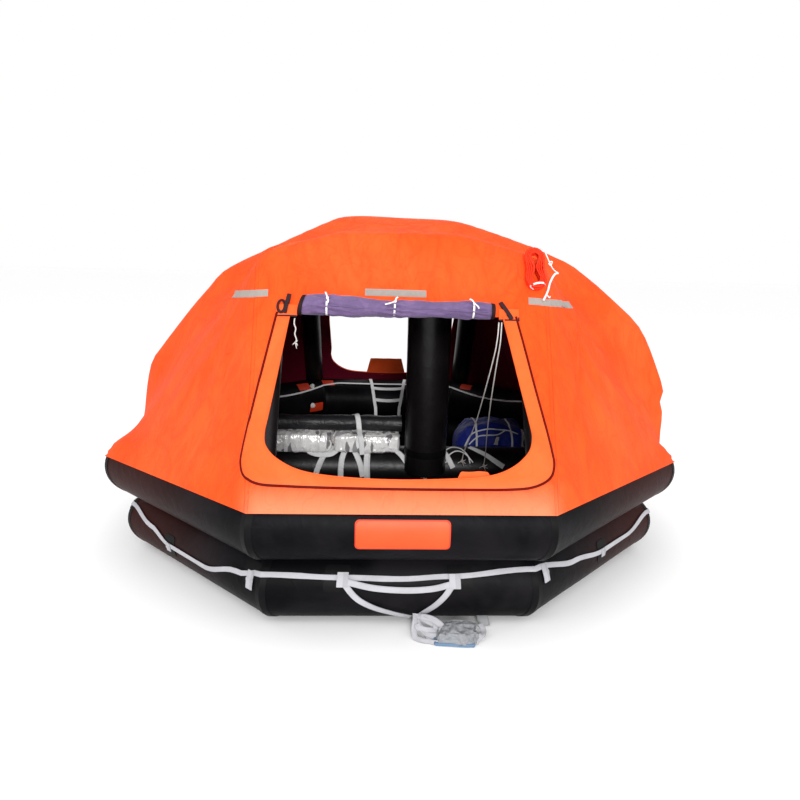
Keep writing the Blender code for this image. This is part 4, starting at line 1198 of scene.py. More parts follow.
    def cloth_point(self, u: float, v: float) -> Vector:
        """Where a point of the flat cloth is pulled to, u across and v from front to rear."""
        end = math.copysign(1.0, v)
        if abs(v) >= 0.5:
            return self.hoop_point(u, end).lerp(self.hem_point(u, end), (abs(v) - 0.5) * 2)
        x, z = self.between(self.arch_right if u > 0 else self.arch_left, abs(u) * 7)
        return Vector((x, self.arch_y(x), z)).lerp(self.hoop_point(u, end), abs(v) * 2)

    def held(self, u: float, v: float) -> bool:
        """Whether the hem, a hoop or the arch holds this point of the cloth."""
        near = 0.001
        on_hem = abs(u) > 1 - near or abs(v) > 1 - near
        on_hoop = abs(abs(v) - 0.5) < near and abs(u) < self.split + near
        on_leg = abs(abs(u) - self.split) < near and abs(v) > 0.5 - near
        return on_hem or abs(v) < near or on_hoop or on_leg

    def off_tube(self, point: Vector, spare: float = 0.0) -> Vector:
        """A point of the cloth kept outside the upper tube."""
        sizes = HULL.sizes
        headings = [2 * math.pi * k / sizes.sides for k in range(sizes.sides)]
        way = max((Vector((math.cos(a), math.sin(a))) for a in headings), key=lambda w: w.dot(point.xy))
        out = Vector((way.dot(point.xy) - sizes.upper_apothem, point.z - sizes.upper_z))
        if out.length >= self.hem_reach + spare:
            return point
        lifted = out.normalized() * (self.hem_reach + spare)
        spread = way * (lifted.x - out.x)
        return Vector((point.x + spread.x, point.y + spread.y, sizes.upper_z + lifted.y))

    def sheet(self) -> bmesh.types.BMesh:
        """The cloth, relaxed between what holds it, refined, and pulled into folds."""
        shape = bmesh.new()
        bmesh.ops.create_grid(shape, x_segments=self.columns, y_segments=self.rows, size=1.0)
        across, along = shape.verts.layers.float.new("across"), shape.verts.layers.float.new("along")
        free = []
        for point in shape.verts:
            u, v = point.co.x, point.co.y
            point[across], point[along] = u, v
            point.co = self.cloth_point(u, v)
            if not self.held(u, v):
                free.append(point)
        shape.normal_update()
        middle = min(shape.faces, key=lambda f: f.calc_center_median().xy.length)
        if middle.normal.z < 0:
            bmesh.ops.reverse_faces(shape, faces=shape.faces)
        for _ in range(self.pulls):
            relax(shape, free, 0.5)
            shape.normal_update()
            for point in free:
                if abs(point[across]) > self.split:
                    point.co += point.normal * self.pull_out
                point.co = self.off_tube(point.co)
        bmesh.ops.subdivide_edges(shape, edges=shape.edges[:], cuts=self.fineness - 1, use_grid_fill=True)
        free = [p for p in shape.verts if not self.held(p[across], p[along])]
        for _ in range(14):
            relax(shape, free, 0.5)
        self.soften_lines(shape, across, along)
        self.fold(shape, across, along)
        self.rest_on_supports(shape)
        for _ in range(5):
            low = [p for p in free if p.co.z < 0.8]
            for point in low:
                point.co = self.off_tube(point.co, 0.0015)
            relax(shape, low, 0.4)
        for point in shape.verts:
            if not point.is_boundary:
                point.co = self.off_tube(point.co, -0.0012)
        uv = shape.loops.layers.uv.new("UVMap")
        for face in shape.faces:
            for loop in face.loops:
                loop[uv].uv = (loop.vert[across] * 1.9, loop.vert[along] * 2.4)
        return shape

    def rest_on_supports(self, shape: bmesh.types.BMesh) -> None:
        """Lift the cloth and its lining clear of the hoops and the arch that they rest on."""
        for path, radius in self.supports:
            tree = KDTree(len(path))
            for k, point in enumerate(path):
                tree.insert(point, k)
            tree.balance()
            reach = radius + self.lining_inset + 0.004
            near = [p for p in shape.verts if p.co.z > 0.7 and tree.find(p.co)[2] < reach + 0.05
                    and not p.is_boundary]
            for lap in range(4):
                for point in near:
                    _, index, _ = tree.find(point.co)
                    before, after = path[max(index - 1, 0)], path[min(index + 1, len(path) - 1)]
                    foot, _ = intersect_point_line(point.co, before, after)
                    away = point.co - foot
                    if away.length < reach:
                        point.co = foot + away.normalized() * reach
                if lap < 3 and abs(path[0].y) > 0.6:
                    relax(shape, near, 0.3)

    def soften_lines(self, shape: bmesh.types.BMesh, across: object, along: object) -> None:
        """Round the held lines a little where the cloth turns over an inflated tube."""
        held = [p for p in shape.verts if self.held(p[across], p[along]) and not p.is_boundary]
        ridge = [p for p in shape.verts if abs(p[along]) < 0.045 and abs(p[across]) < 0.98]
        for group, count in ((held, 2), (ridge, 3)):
            for _ in range(count):
                relax(shape, group, 0.35)

    def side_depth(self, p: Vector, u: float, v: float) -> float:
        """How far a side panel's cloth stands out: folds that fan down from the hoop's shoulder.

        Args:
            p: The place in the raft.
            u: Its share across the flat cloth.
            v: Its share along the flat cloth.

        Returns:
            A depth in metres along the normal.
        """
        depth = 0.008 * noise.noise(Vector((p.x * 1.3 + v * 2.0, p.y * 2.6, p.z * 1.4)))
        ray = p - Vector((math.copysign(0.7, u), math.copysign(1.02, v), 1.66))
        fan = math.atan2(ray.x * math.copysign(1.0, u) - ray.y * math.copysign(0.6, v), -ray.z)
        ripple = math.sin(fan * self.fan_count + 2.4 * noise.noise(p * 1.2 + Vector((u * 3, 0, 0))))
        grown = unit((ray.length - 0.1) / 0.25) * max(0.0, 1 - ray.length / 1.55)
        deep = self.fan_depth_front if u > 0 > v else self.fan_depth
        depth += (deep * abs(ripple) ** 1.6 - 0.45 * deep) * grown
        beside = math.exp(-((abs(u) - self.split) / 0.09) ** 2)
        seam_ripple = math.sin(fan * 46 + 3 * noise.noise(p * 2.0))
        return depth + 0.003 * beside * seam_ripple * min(1.0, ray.length / 0.3)

    @staticmethod
    def wall_depth(p: Vector, u: float) -> float:
        """How far an end wall's cloth stands out: shallow creases, with sharper ones along its foot."""
        depth = 0.005 * noise.noise(Vector((p.x * 1.1, p.y * 1.6, p.z * 2.2)))
        crease = 1 - abs(2 * noise.noise(Vector((p.x * 5.5, p.y * 1.2, p.z * 1.6))))
        depth += 0.003 * crease ** 4 * max(0.0, abs(u) - 0.1)
        foot = max(0.0, 1 - (p.z - 0.57) / 0.16)
        creased = 1 - abs(2 * noise.noise(Vector((p.x * 3.2 + p.z * 7.0, p.y * 2.0, p.z * 13 - p.x * 2.0))))
        return depth + 0.0048 * foot * creased ** 3

    @staticmethod
    def corner_depth(p: Vector, u: float, v: float, side: bool) -> float:
        """Puckers that spread from the corner where wall, side panel and tube meet, and along the hem."""
        spread = p - Vector((math.copysign(0.69, u), math.copysign(1.6, v), 0.6))
        near = max(0.0, 1 - spread.length / 0.42)
        if not side:
            near *= unit((0.69 - p.z) / 0.04)
        turn = math.atan2(spread.z * 1.6, spread.x * math.copysign(1.0, u))
        depth = 0.0062 * near * math.sin(turn * 17 + 1.5 * noise.noise(p * 4))
        hem = max(0.0, 1 - (p.z - 0.58) / 0.14)
        return depth + 0.0035 * hem * noise.noise(Vector((p.x * 16, p.y * 16, p.z * 5)))

    @staticmethod
    def outline_depth(z: float, u: float, v: float) -> float:
        """The swell and the dent in the outline over the arch's ends, by height."""
        if u > 0 and abs(v) < 0.25:
            swell_out = 0.015 * math.exp(-((z - 0.955) / 0.03) ** 2)
            return (1 - abs(v) / 0.25) * (swell_out - 0.018 * math.exp(-((z - 0.875) / 0.04) ** 2))
        if u < 0 and abs(v) < 0.2:
            return (1 - abs(v) / 0.2) * 0.008 * math.exp(-((z - 1.02) / 0.03) ** 2)
        return 0.0

    def fold(self, shape: bmesh.types.BMesh, across: object, along: object) -> None:
        """Pull the slack of the side panels into folds, and pucker the cloth beside its seams."""
        shape.normal_update()
        moves = []
        for point in shape.verts:
            u, v, p = point[across], point[along], point.co
            side = abs(u) > self.split
            edge = min(1.0, (1 - max(abs(u), abs(v))) / 0.06)
            line = min(abs(v), abs(abs(v) - 0.5) if abs(u) <= self.split else 1.0,
                       abs(abs(u) - self.split) if abs(v) > 0.45 else 1.0)
            slack = min(1.0, line / 0.08) * edge if not (side and abs(v) < 0.25) else edge
            depth = self.side_depth(p, u, v) if side else self.wall_depth(p, u)
            depth += self.corner_depth(p, u, v, side) + self.outline_depth(p.z, u, v)
            pucker = max(0.0, 1 - line / 0.035)
            depth_fine = 0.0012 * pucker * math.sin((p.x + p.y * 0.7 + p.z * 0.5) * 110)
            moves.append((point, point.normal * (depth * slack + depth_fine * edge)))
        for point, move in moves:
            point.co += move

    def cut_door(self, shape: bmesh.types.BMesh, end: End) -> None:
        """Cut a doorway: split the wall's faces along the outline and take out the inside."""
        outline = [Vector(p) for p in self.outline(self.opening_at(end), 7)]
        outline += [outline[-1].lerp(outline[0], k / 12) for k in range(1, 12)]
        for a, b in zip(outline, [*outline[1:], outline[0]]):
            middle, ahead = (a + b) / 2, (b - a).normalized()
            reach = (b - a).length / 2 + 0.05
            near = [f for f in shape.faces if f.calc_center_median().y * end > 0.8
                    and (Vector((f.calc_center_median().x * -end, f.calc_center_median().z)) - middle).length < reach]
            geom = near + list({e for f in near for e in f.edges}) + list({v for f in near for v in f.verts})
            side = Vector((ahead.y * -end, 0, -ahead.x))
            bmesh.ops.bisect_plane(shape, geom=geom, dist=0.0002, plane_co=Vector((middle.x * -end, 0, middle.y)),
                                   plane_no=side)
        inside = [f for f in shape.faces if f.calc_center_median().y * end > 0.8
                  and self.within(outline, f.calc_center_median().x * -end, f.calc_center_median().z)]
        bmesh.ops.delete(shape, geom=inside, context="FACES")

    def opening_at(self, end: End) -> tuple:
        """The opening's outline, drawn in a little at the rear, under the room that the curtain swings through."""
        if end is End.FRONT:
            return self.opening
        spare = 1 - self.rear_opening_share
        return tuple((x * (1 - spare * unit((1.28 - z) / 0.34)), z) for x, z in self.opening)

    @staticmethod
    def within(outline: Sequence[Vector], x: float, z: float) -> bool:
        """Whether a place on the wall is inside the outline."""
        count = 0
        for a, b in zip(outline, [*outline[1:], outline[0]]):
            if (a.y > z) != (b.y > z) and x < a.x + (z - a.y) / (b.y - a.y) * (b.x - a.x):
                count += 1
        return count % 2 == 1

    @staticmethod
    def outline(table: Sequence[tuple[float, float]], count: int) -> list[tuple[float, float]]:
        """A smooth outline through a table of (x, z)."""
        return [(p.x, p.y) for p in smooth_path([(x, z, 0) for x, z in table], count)]

    def on_wall(self, x: float, z: float, end: End, lift: float = 0.0) -> Station:
        """The cloth's outer face seen straight at an end wall, at x to the right as one faces the wall."""
        out = self.wall_out(end)
        spot = Vector((x * -end, -end * self.wall_y(z), z))
        hit, normal, _, _ = self.trees["cover"].ray_cast(spot + out * 0.3, -out, 0.9)
        if hit is None:
            return spot + out * lift, out
        if normal.dot(out) < 0:
            normal = -normal
        return hit + normal * lift, normal

    def level_on(self, x: float, z: float, end: End, lift: float = 0.0) -> Station:
        """The cloth's outer face as met on the level from outside a doorway."""
        hit, normal, _, _ = self.trees["cover"].ray_cast(Vector((x * -end, end * 2.4, z)), Vector((0, -end, 0)), 2.4)
        if normal.y * end < 0:
            normal = -normal
        return hit + normal * lift, normal

    def on_cloth(self, point: Vector, lift: float = 0.0) -> Station:
        """The nearest place on the cloth's outer face."""
        hit, normal, _, _ = self.trees["cover"].find_nearest(point)
        if normal.dot(hit - Vector((0, 0, 0.7))) < 0:
            normal = -normal
        return hit + normal * lift, normal

    def build(self) -> None:
        """Make the cover, the lining, and the sewn pieces."""
        cover = self.sheet()
        self.trees["cover"] = BVHTree.FromBMesh(cover)
        lining = cover.copy()
        lining.normal_update()
        for point in lining.verts:
            point.co -= point.normal * self.lining_inset
        for shape in (cover, lining):
            for end in End:
                self.cut_door(shape, end)
        area = sum(f.calc_area() for f in cover.faces)
        bmesh.ops.solidify(cover, geom=cover.faces[:], thickness=self.cloth)
        piece = finish_piece("canopy_cover", cover, self.palette.canopy, nodes=("canopy_front", "canopy_rear",
                             "canopy_roof", "canopy_left", "canopy_right"), sharp=50, normals=False)
        bmesh.ops.solidify(lining, geom=lining.faces[:], thickness=0.001)
        inner = finish_piece("canopy_lining", lining, self.palette.lining, sharp=50, normals=False)
        for end in End:
            self.sew_door(end)
            self.sew_tapes(end)

    def sew_door(self, end: End) -> None:
        """The strip that frames a doorway, with its piping and bound edge."""
        label = end.name.lower()
        inner = self.outline(self.opening_at(end), 10)
        outer = self.outline(self.seam, 10)
        shape = bmesh.new()
        uv_across, uv_along = shape.verts.layers.float.new("across"), shape.verts.layers.float.new("along")
        rings = []
        travelled = 0.0
        for side, table in enumerate((inner, outer)):
            chain = []
            travelled = 0.0
            for k, (x, z) in enumerate(table):
                chain.append(shape.verts.new(self.on_wall(x, z, end, 0.0032)[0]))
                if k:
                    travelled += (chain[-1].co - chain[-2].co).length
                chain[-1][uv_across], chain[-1][uv_along] = 0.08 * side, travelled
            rings += [shape.edges.new(pair) for pair in zip(chain, chain[1:])]
        bmesh.ops.bridge_loops(shape, edges=rings)
        cross = [e for e in shape.edges if abs(e.verts[0][uv_across] - e.verts[1][uv_across]) > 0.01]
        bmesh.ops.subdivide_edges(shape, edges=cross, cuts=9, use_grid_fill=True)
        for point in shape.verts:
            spot, _ = self.on_wall(point.co.x * -end, point.co.z, end, 0.0034)
            if (spot - point.co).length < 0.05:
                point.co = spot
        uv = shape.loops.layers.uv.new("UVMap")
        for face in shape.faces:
            for loop in face.loops:
                loop[uv].uv = (loop.vert[uv_across], loop.vert[uv_along])
        shape.normal_update()
        if sum(f.normal.dot(self.wall_out(end)) for f in shape.faces) > 0:
            bmesh.ops.reverse_faces(shape, faces=shape.faces)
        bmesh.ops.solidify(shape, geom=shape.faces[:], thickness=0.0012)
        finish_piece(f"{label}_door_frame", shape, self.palette.frame_strip, sharp=50)
        self.sill_flap(end)
        for name, table, radius, finish in (("seam_piping", outer, 0.0058, self.palette.piping),
                                            ("edge_binding", inner, 0.0042, self.palette.frame_strip)):
            path = [self.on_wall(x, z, end, 0.0032)[0] for x, z in table]
            finish_piece(f"{label}_door_{name}", Sweep(path_frames(path)).tube(radius, 12), finish)

    def sill_flap(self, end: End) -> None:
        """The loose flap of cloth on a doorway's sill: a small one in front, a wide one behind."""
        if end is End.FRONT:
            left, right, low, high, place = 0.236, 0.388, 0.716, 0.749, 0.012
        else:
            left, right, low, high, place = -0.16, 0.19, 0.7, 0.85, 0.014
        flat = flat_patch(right - left, high - low, 0.008, 18, 10)

        def spot(x: float, y: float) -> Station:
            share = y / (high - low) + 0.5
            taper = 1 - 0.22 * share
            wave = 0.004 * math.sin(x * 46) * share + 0.003 * noise.noise(Vector((x * 14, y * 14, 3.0)))
            base, out = self.on_wall((left + right) / 2 + x * taper, low, end, 0.0)
            inward = Vector((0, -end, 0))
            rise = (high - low) * share
            return base + inward * (place + 0.25 * rise + wave) + Vector((0, 0, rise)), out

        wrap(flat, spot, 0.0014)
        finish_piece(f"{end.name.lower()}_sill_flap", flat, self.palette.frame_strip, sharp=50)

    def sew_tapes(self, end: End) -> None:
        """The three pieces of reflecting tape over a door, sewn on and blank."""
        label = end.name.lower()
        tapes = ((-0.636, 1.487, -1, 0.05, 0.35), (-0.18, 1.5, 1, -0.01, 0.292), (0.602, 1.476, 1, 0.05, 0.41))
        for k, (x, z, way, fall, length) in enumerate(tapes):
            stations = [self.level_on(x, z, end, 0.0014)]
            for _ in range(24):
                point, out = stations[-1]
                level = out.cross(Vector((0, 0, 1))).normalized()
                level *= math.copysign(1.0, level.x * -end * way)
                step = (level + out.cross(level).normalized() * math.copysign(fall, -out.cross(level).z)
                        ).normalized() * (length / 24)
                stations.append(self.on_cloth(point + step, 0.0014))
            shape = Sweep(strap_frames(stations)).strap(0.037, 0.0008, cuts=4)
            for point in shape.verts:
                near, out, _, _ = self.trees["cover"].find_nearest(point.co)
                side = 1 if (point.co - near).dot(out) >= 0 else -1
                if (point.co - near).length < 0.0012 or side * out.dot(self.wall_out(end)) < 0:
                    point.co = near + out * (1 if out.dot(self.wall_out(end)) > 0 else -1) * 0.0016
            finish_piece(f"{label}_reflective_tape_{k + 1}", shape, self.palette.reflector, sharp=50)


@dataclass
class Hull(Assembly):
    """The two buoyancy tubes with their taped corners, the floor and the water pockets."""

    palette: Palette
    steps: int = 10
    segments: int = 56
    tape_width: float = 0.05
    floor_high: float = 0.05

    def ring_frames(self, tube: Tube, compasses: Sequence[float]) -> list[Matrix]:
        """Frames of the tube's upright sections, widened where they cut a side aslant."""
        apothem, height = HULL.line(tube)
        step = 360 / HULL.sizes.sides
        frames = []
        for compass in compasses:
            skew = 1 / math.cos(math.radians(compass - round(compass / step + 0.0001) * step))
            way = Vector((math.cos(math.radians(compass)), math.sin(math.radians(compass)), 0))
            turn = Matrix((way * skew, Vector((0, 0, 1)), way.cross(Vector((0, 0, 1))))).transposed().to_4x4()
            frames.append(Matrix.Translation(way * (apothem * skew) + Vector((0, 0, height))) @ turn)
        return frames

    def build(self) -> None:
        """Make the hull's pieces."""
        sizes = HULL.sizes
        step = 360 / sizes.sides
        for tube in Tube:
            compasses = [22.5 + step * k / self.steps for k in range(self.steps * sizes.sides + 1)]
            shape = Sweep(self.ring_frames(tube, compasses), joined=True).tube(sizes.skin_radius, self.segments)
            ruffle(shape, 0.0012, 5.0, 3.0)
            for point in shape.verts:
                point.co.z = max(point.co.z, 0.0006)
            name = f"{tube.value}_tube"
            finish_piece(name + "_skin", shape, self.palette.rubber, nodes=(name,), sharp=30)
            tapes = []
            for k in range(sizes.sides):
                corner = 22.5 + step * k
                spread = math.degrees(self.tape_width / 2 / (sizes.upper_apothem / sizes.mitre))
                frames = self.ring_frames(tube, (corner - spread, corner, corner + spread))
                band = Sweep(frames).tube(sizes.skin_radius + 0.0022, self.segments, capped=False)
                bmesh.ops.recalc_face_normals(band, faces=band.faces)
                bmesh.ops.solidify(band, geom=band.faces[:], thickness=0.0014)
                for point in band.verts:
                    point.co.z = max(point.co.z, 0.0003)
                tapes.append(band)
            finish_piece(f"{tube.value}_corner_tapes", join_shapes(tapes), self.palette.patch, sharp=30)
        self.lay_floor()
        self.lay_pockets()

    def lay_floor(self) -> None:
        """The floor, slack between its seams."""
        sizes = HULL.sizes
        inner = sizes.lower_apothem / sizes.mitre
        shape = bmesh.new()
        bmesh.ops.create_circle(shape, cap_ends=True, segments=sizes.sides, radius=inner - 0.1,
                                matrix=Matrix.Rotation(math.pi / sizes.sides, 4, "Z"))
        for way in (Vector((1, 0, 0)), Vector((0, 1, 0))):
            for k in range(-13, 14):
                geom = shape.verts[:] + shape.edges[:] + shape.faces[:]
                bmesh.ops.bisect_plane(shape, geom=geom, plane_co=way * (k * 0.1 + 0.003), plane_no=way)
        bmesh.ops.translate(shape, verts=shape.verts, vec=(0, 0, self.floor_high - 0.004))
        for point in shape.verts:
            point.co.z += 0.004 * noise.noise(point.co * 3.0)
        bmesh.ops.solidify(shape, geom=shape.faces[:], thickness=0.012)
        finish_piece("floor_sheet", shape, self.palette.floor, nodes=("floor",), sharp=60)

    def lay_pockets(self) -> None:
        """The weighted bags, flat beneath the floor."""
        for k in range(4):
            heading = math.pi / 4 + k * math.pi / 2
            place = Vector((0.72 * math.cos(heading), 0.72 * math.sin(heading), 0.0117))
            shape = pillow(Vector((0.615, 0.355, 0.013)), place, 12, 0.001, 0.5, heading + math.pi / 2)
            ruffle(shape, 0.0012, 12.0, k * 2.0)
            finish_piece(f"water_pocket_{k + 1}_bag", shape, self.palette.pocket, nodes=(f"water_pocket_{k + 1}",))


@dataclass
class CabinTubes(Assembly):
    """The thwart, the column, the arch and both hoops, each an inflated tube."""

    palette: Palette
    canopy: Canopy
    thwart_radius: float = 0.1396
    thwart_z: float = 0.312
    thwart_half: float = 1.275
    column_radius: float = 0.1346
    column_foot: Vector = Vector((0.215, -0.12, 0.33))
    column_head: Vector = Vector((0.208, -0.275, 1.8))
    hoop_radius: float = 0.0746
    arch_radius: float = 0.0796

    def build(self) -> None:
        """Make the tubes."""
        self.beam("thwart_tube", "thwart", Vector((-self.thwart_half, 0, self.thwart_z)),
                  Vector((self.thwart_half, 0, self.thwart_z)), self.thwart_radius, 60)
        self.beam("column_tube", "column", self.column_foot, self.column_head, self.column_radius, 40)
        for label, end in (("front", End.FRONT), ("rear", End.REAR)):
            self.beam_along(f"{label}_hoop_tube", f"{label}_hoop", self.hoop_path(end), self.hoop_radius)
        self.beam_along("centre_arch_tube", "centre_arch", self.arch_path(), self.arch_radius)
        self.tape_round("column_foot_tape", self.column_foot.lerp(self.column_head, 0.098), 0.045)
        self.tape_round("column_head_tape", self.column_foot.lerp(self.column_head, 0.93), 0.04)

    def carriers(self) -> list[tuple[list[Vector], float]]:
        """The centre line and radius of each tube that the canopy rests on."""
        return [(self.hoop_path(End.FRONT), self.hoop_radius), (self.hoop_path(End.REAR), self.hoop_radius),
                (self.arch_path(), self.arch_radius)]

    def beam(self, name: str, node: str, start: Vector, end: Vector, radius: float, steps: int) -> None:
        """A straight inflated tube."""
        self.beam_along(name, node, [start.lerp(end, k / steps) for k in range(steps + 1)], radius)

    def beam_along(self, name: str, node: str, path: Sequence[Vector], radius: float) -> None:
        """An inflated tube along a path."""
        shape = Sweep(path_frames(path)).tube(radius, 40)
        ruffle(shape, 0.0011, 7.0, len(name))
        finish_piece(name, shape, self.palette.inner_rubber, nodes=(node,), sharp=30)

    def tape_round(self, name: str, middle: Vector, width: float) -> None:
        """A tape wrapped round the column."""
        way = (self.column_head - self.column_foot).normalized()
        frames = path_frames([middle - way * width / 2, middle + way * width / 2])
        band = Sweep(frames).tube(self.column_radius + 0.0022, 40, capped=False)
        bmesh.ops.recalc_face_normals(band, faces=band.faces)
        bmesh.ops.solidify(band, geom=band.faces[:], thickness=0.0016)
        finish_piece(name, band, self.palette.patch)

    def hoop_path(self, end: End) -> list[Vector]:
        """Centre line of a hoop."""
        canopy = self.canopy
        inset = 0.075 + 0.02 - 0.004
        back = inset / math.sin(canopy.tilt)

        def spot(x: float, z: float) -> tuple[float, float, float]:
            return x, -end * (canopy.wall_y(z) + back), z

        crown, knee = canopy.crest_z - 0.096, canopy.shoulder_z - 0.08
        foot = HULL.sizes.upper_z + HULL.sizes.lower_z - 0.065
        half = canopy.crest_half
        return self.resample(rounded([spot(-0.64, foot), spot(-0.64, knee), spot(-half, crown), spot(half, crown),
                                      spot(0.64, knee), spot(0.64, foot)], 0.12, 8), 0.03)

    def arch_path(self) -> list[Vector]:
        """Centre line of the arch, inside the cloth that it carries."""
        canopy = self.canopy
        outer = [Vector(canopy.between(canopy.arch_left, k)) for k in (6.6, 6, 4, 1)]
        outer += [Vector(canopy.between(canopy.arch_right, k)) for k in (1, 4, 5, 6, 6.6)]
        inset = 0.02 + 0.08 - 0.004 + 0.048
        inner = []
        for k, here in enumerate(outer):
            ways = [(b - a).normalized() for a, b in zip(outer[max(k - 1, 0):k + 1], outer[max(k, 1):k + 2])]
            normals = [Vector((w.y, -w.x)) for w in ways]
            mid = sum(normals, Vector((0, 0))).normalized()
            inner.append(here + mid * (inset / mid.dot(normals[0])))
        foot = HULL.sizes.upper_z + HULL.sizes.lower_z - 0.065
        feet = [Vector((inner[0].x, foot)), *inner, Vector((inner[-1].x, foot))]
        behind = 0.035 / (2 * canopy.side_x)
        places = [(p.x, canopy.arch_y(p.x) + behind * (p.x + canopy.side_x), p.y) for p in feet]
        return self.resample(rounded(places, 0.16, 8), 0.03)

    @staticmethod
    def resample(path: Sequence[Vector], spacing: float) -> list[Vector]:
        """A path with evenly spaced points."""
        made = [path[0]]
        for a, b in zip(path, path[1:]):
            count = max(1, round((b - a).length / spacing))
            made += [a.lerp(b, k / count) for k in range(1, count + 1)]
        return [p for k, p in enumerate(made) if k == 0 or (p - made[k - 1]).length > 0.0005]


@dataclass
class DoorCurtain(Assembly):
    """A curtain rolled up over its doorway, with its bindings and ties."""

    palette: Palette
    canopy: Canopy
    end: End
    body: Body
    radius: float = 0.037
    half: float = 0.45
    aside: float = -0.026
    slope: float = 0.014
    seam_z: float = 1.388
    centre_up: float = 0.024
    centre_out: float = 0.044
    ties: tuple[float, ...] = (-0.326, -0.015, 0.351)

    @property
    def label(self) -> str:
        """The doorway's name."""
        return self.end.name.lower()

    def frame(self) -> Matrix:
        """The curtain's frame: X along the roll, Y up the wall, Z out, from the seam."""
        return self.canopy.wall_frame(self.seam_z, self.aside, 0.0063, self.end)

    def girth(self, x: float) -> float:
        """The roll's girth along it, drawn in by its ties and swollen between them."""
        drawn = sum(math.exp(-((x - t) / 0.016) ** 2) for t in self.ties)
        ends = math.exp(-((abs(x) - self.half) / 0.03) ** 2)
        share = unit((-x - 0.02) / 0.22)
        fuller = 0.26 * share * share * (3 - 2 * share)
        return 1.0 + fuller - 0.15 * drawn - 0.06 * ends + 0.03 * math.sin(x * 23) + 0.02 * math.sin(x * 61 + 1.0)

    def build(self) -> None:
        """Make the roll, its flap, its end bindings and its ties."""
        frame = self.frame()
        steps = 150
        path = []
        for k in range(steps + 1):
            x = -self.half + 2 * self.half * k / steps
            sag = -0.003 * math.cos(x * 9.0) - self.slope * x
            path.append(Vector((x, self.centre_up + sag, self.centre_out - 0.002)))
        frames = path_frames(path, [self.girth(p.x) for p in path])
        shape = Sweep(frames).tube(self.radius, 64)
        self.end_whorls(shape)
        shape.normal_update()
        for point in shape.verts:
            x = point.co.x
            turn = math.atan2(point.co.y - self.centre_up + self.slope * x, point.co.z - self.centre_out)
            near = sum(math.exp(-((x - t) / 0.07) ** 2) for t in self.ties)
            fold = sum(math.sin(turn * 8 + (x - t) * 30) * 0.0058 * math.exp(-((x - t) / 0.05) ** 2)
                       for t in self.ties) + math.sin(turn * 5 + x * 12) * 0.0016 * near
            fold += 0.005 * noise.noise(Vector((x * 7, turn * 1.2, 4.0)))
            fold += 0.0022 * (1 - abs(2 * noise.noise(Vector((x * 13 + turn * 2, turn * 2.0, 9.0))))) ** 2
            if abs(x) < self.half - 0.002:
                point.co += point.normal * fold
            point.co.x += self.slant(point.co)
        bmesh.ops.transform(shape, matrix=frame, verts=shape.verts)
        finish_piece(f"{self.label}_curtain_roll", shape, self.palette.curtain, self.body,
                     nodes=(f"{self.label}_door_roll",), sharp=50)
        self.wrap_free_edge(frame)
        for sign in (-1, 1):
            self.bind_end(frame, sign)
        for k, x in enumerate(self.ties):
            self.tie(frame, x, k)

    def slant(self, point: Vector) -> float:
        """How far the roll's left end leans, out at its foot and in at its top."""
        near = unit((-point.x - self.half + 0.16) / 0.16)
        return 0.3 * near * near * (point.y - self.centre_up)

    def end_whorls(self, shape: bmesh.types.BMesh) -> None:
        """Sink rings into the roll's two ends, as the layers of rolled cloth show there."""
        caps = [f for f in shape.faces if len(f.verts) > 8]
        for cap in caps:
            for depth in (-0.003, 0.003, -0.003, 0.003, -0.004):
                bmesh.ops.inset_individual(shape, faces=[cap], thickness=0.0075, depth=depth)

    def wrap_free_edge(self, frame: Matrix) -> None:
        """The curtain's free edge, which ends in a hem part of the way round the roll, and the flap to the seam."""
        flap = Sweep(strap_frames([(Vector((-self.half + 0.02, 0.021, 0.0035)), Vector((0, 0, 1))),
                                   (Vector((0, 0.021, 0.0035)), Vector((0, 0, 1))),
                                   (Vector((self.half - 0.02, 0.021, 0.0035)), Vector((0, 0, 1)))]))
        shape = flap.strap(0.026, 0.003)
        bmesh.ops.transform(shape, matrix=frame, verts=shape.verts)
        finish_piece(f"{self.label}_curtain_flap", shape, self.palette.curtain, self.body)
        path = []
        for k in range(90):
            x = -self.half + 0.035 + (2 * self.half - 0.07) * k / 89
            turn = math.radians(-28 + 5 * math.sin(x * 14))
            reach = self.radius * self.girth(x) + 0.0012
            path.append(Vector((x, self.centre_up - self.slope * x + reach * math.sin(turn),
                                self.centre_out + reach * math.cos(turn))))
        hem = Sweep(path_frames(path)).tube(0.0028, 10)
        bmesh.ops.transform(hem, matrix=frame, verts=hem.verts)
        finish_piece(f"{self.label}_curtain_hem", hem, self.palette.curtain, self.body)

    def bind_end(self, frame: Matrix, sign: int) -> None:
        """The dark binding at one end of the roll."""
        middle = sign * (self.half - 0.008)
        path = [Vector((middle + 0.003 * k, self.centre_up - self.slope * middle, self.centre_out))
                for k in range(-3, 4)]
        band = Sweep(path_frames(path, [self.girth(p.x) + 0.07 for p in path])).tube(self.radius, 40, capped=False)
        bmesh.ops.recalc_face_normals(band, faces=band.faces)
        bmesh.ops.solidify(band, geom=band.faces[:], thickness=0.0016)
        for point in band.verts:
            point.co.x += self.slant(point.co)
        bmesh.ops.transform(band, matrix=frame, verts=band.verts)
        side = "right" if sign > 0 else "left"
        finish_piece(f"{self.label}_curtain_binding_{side}", band, self.palette.binding, self.body)

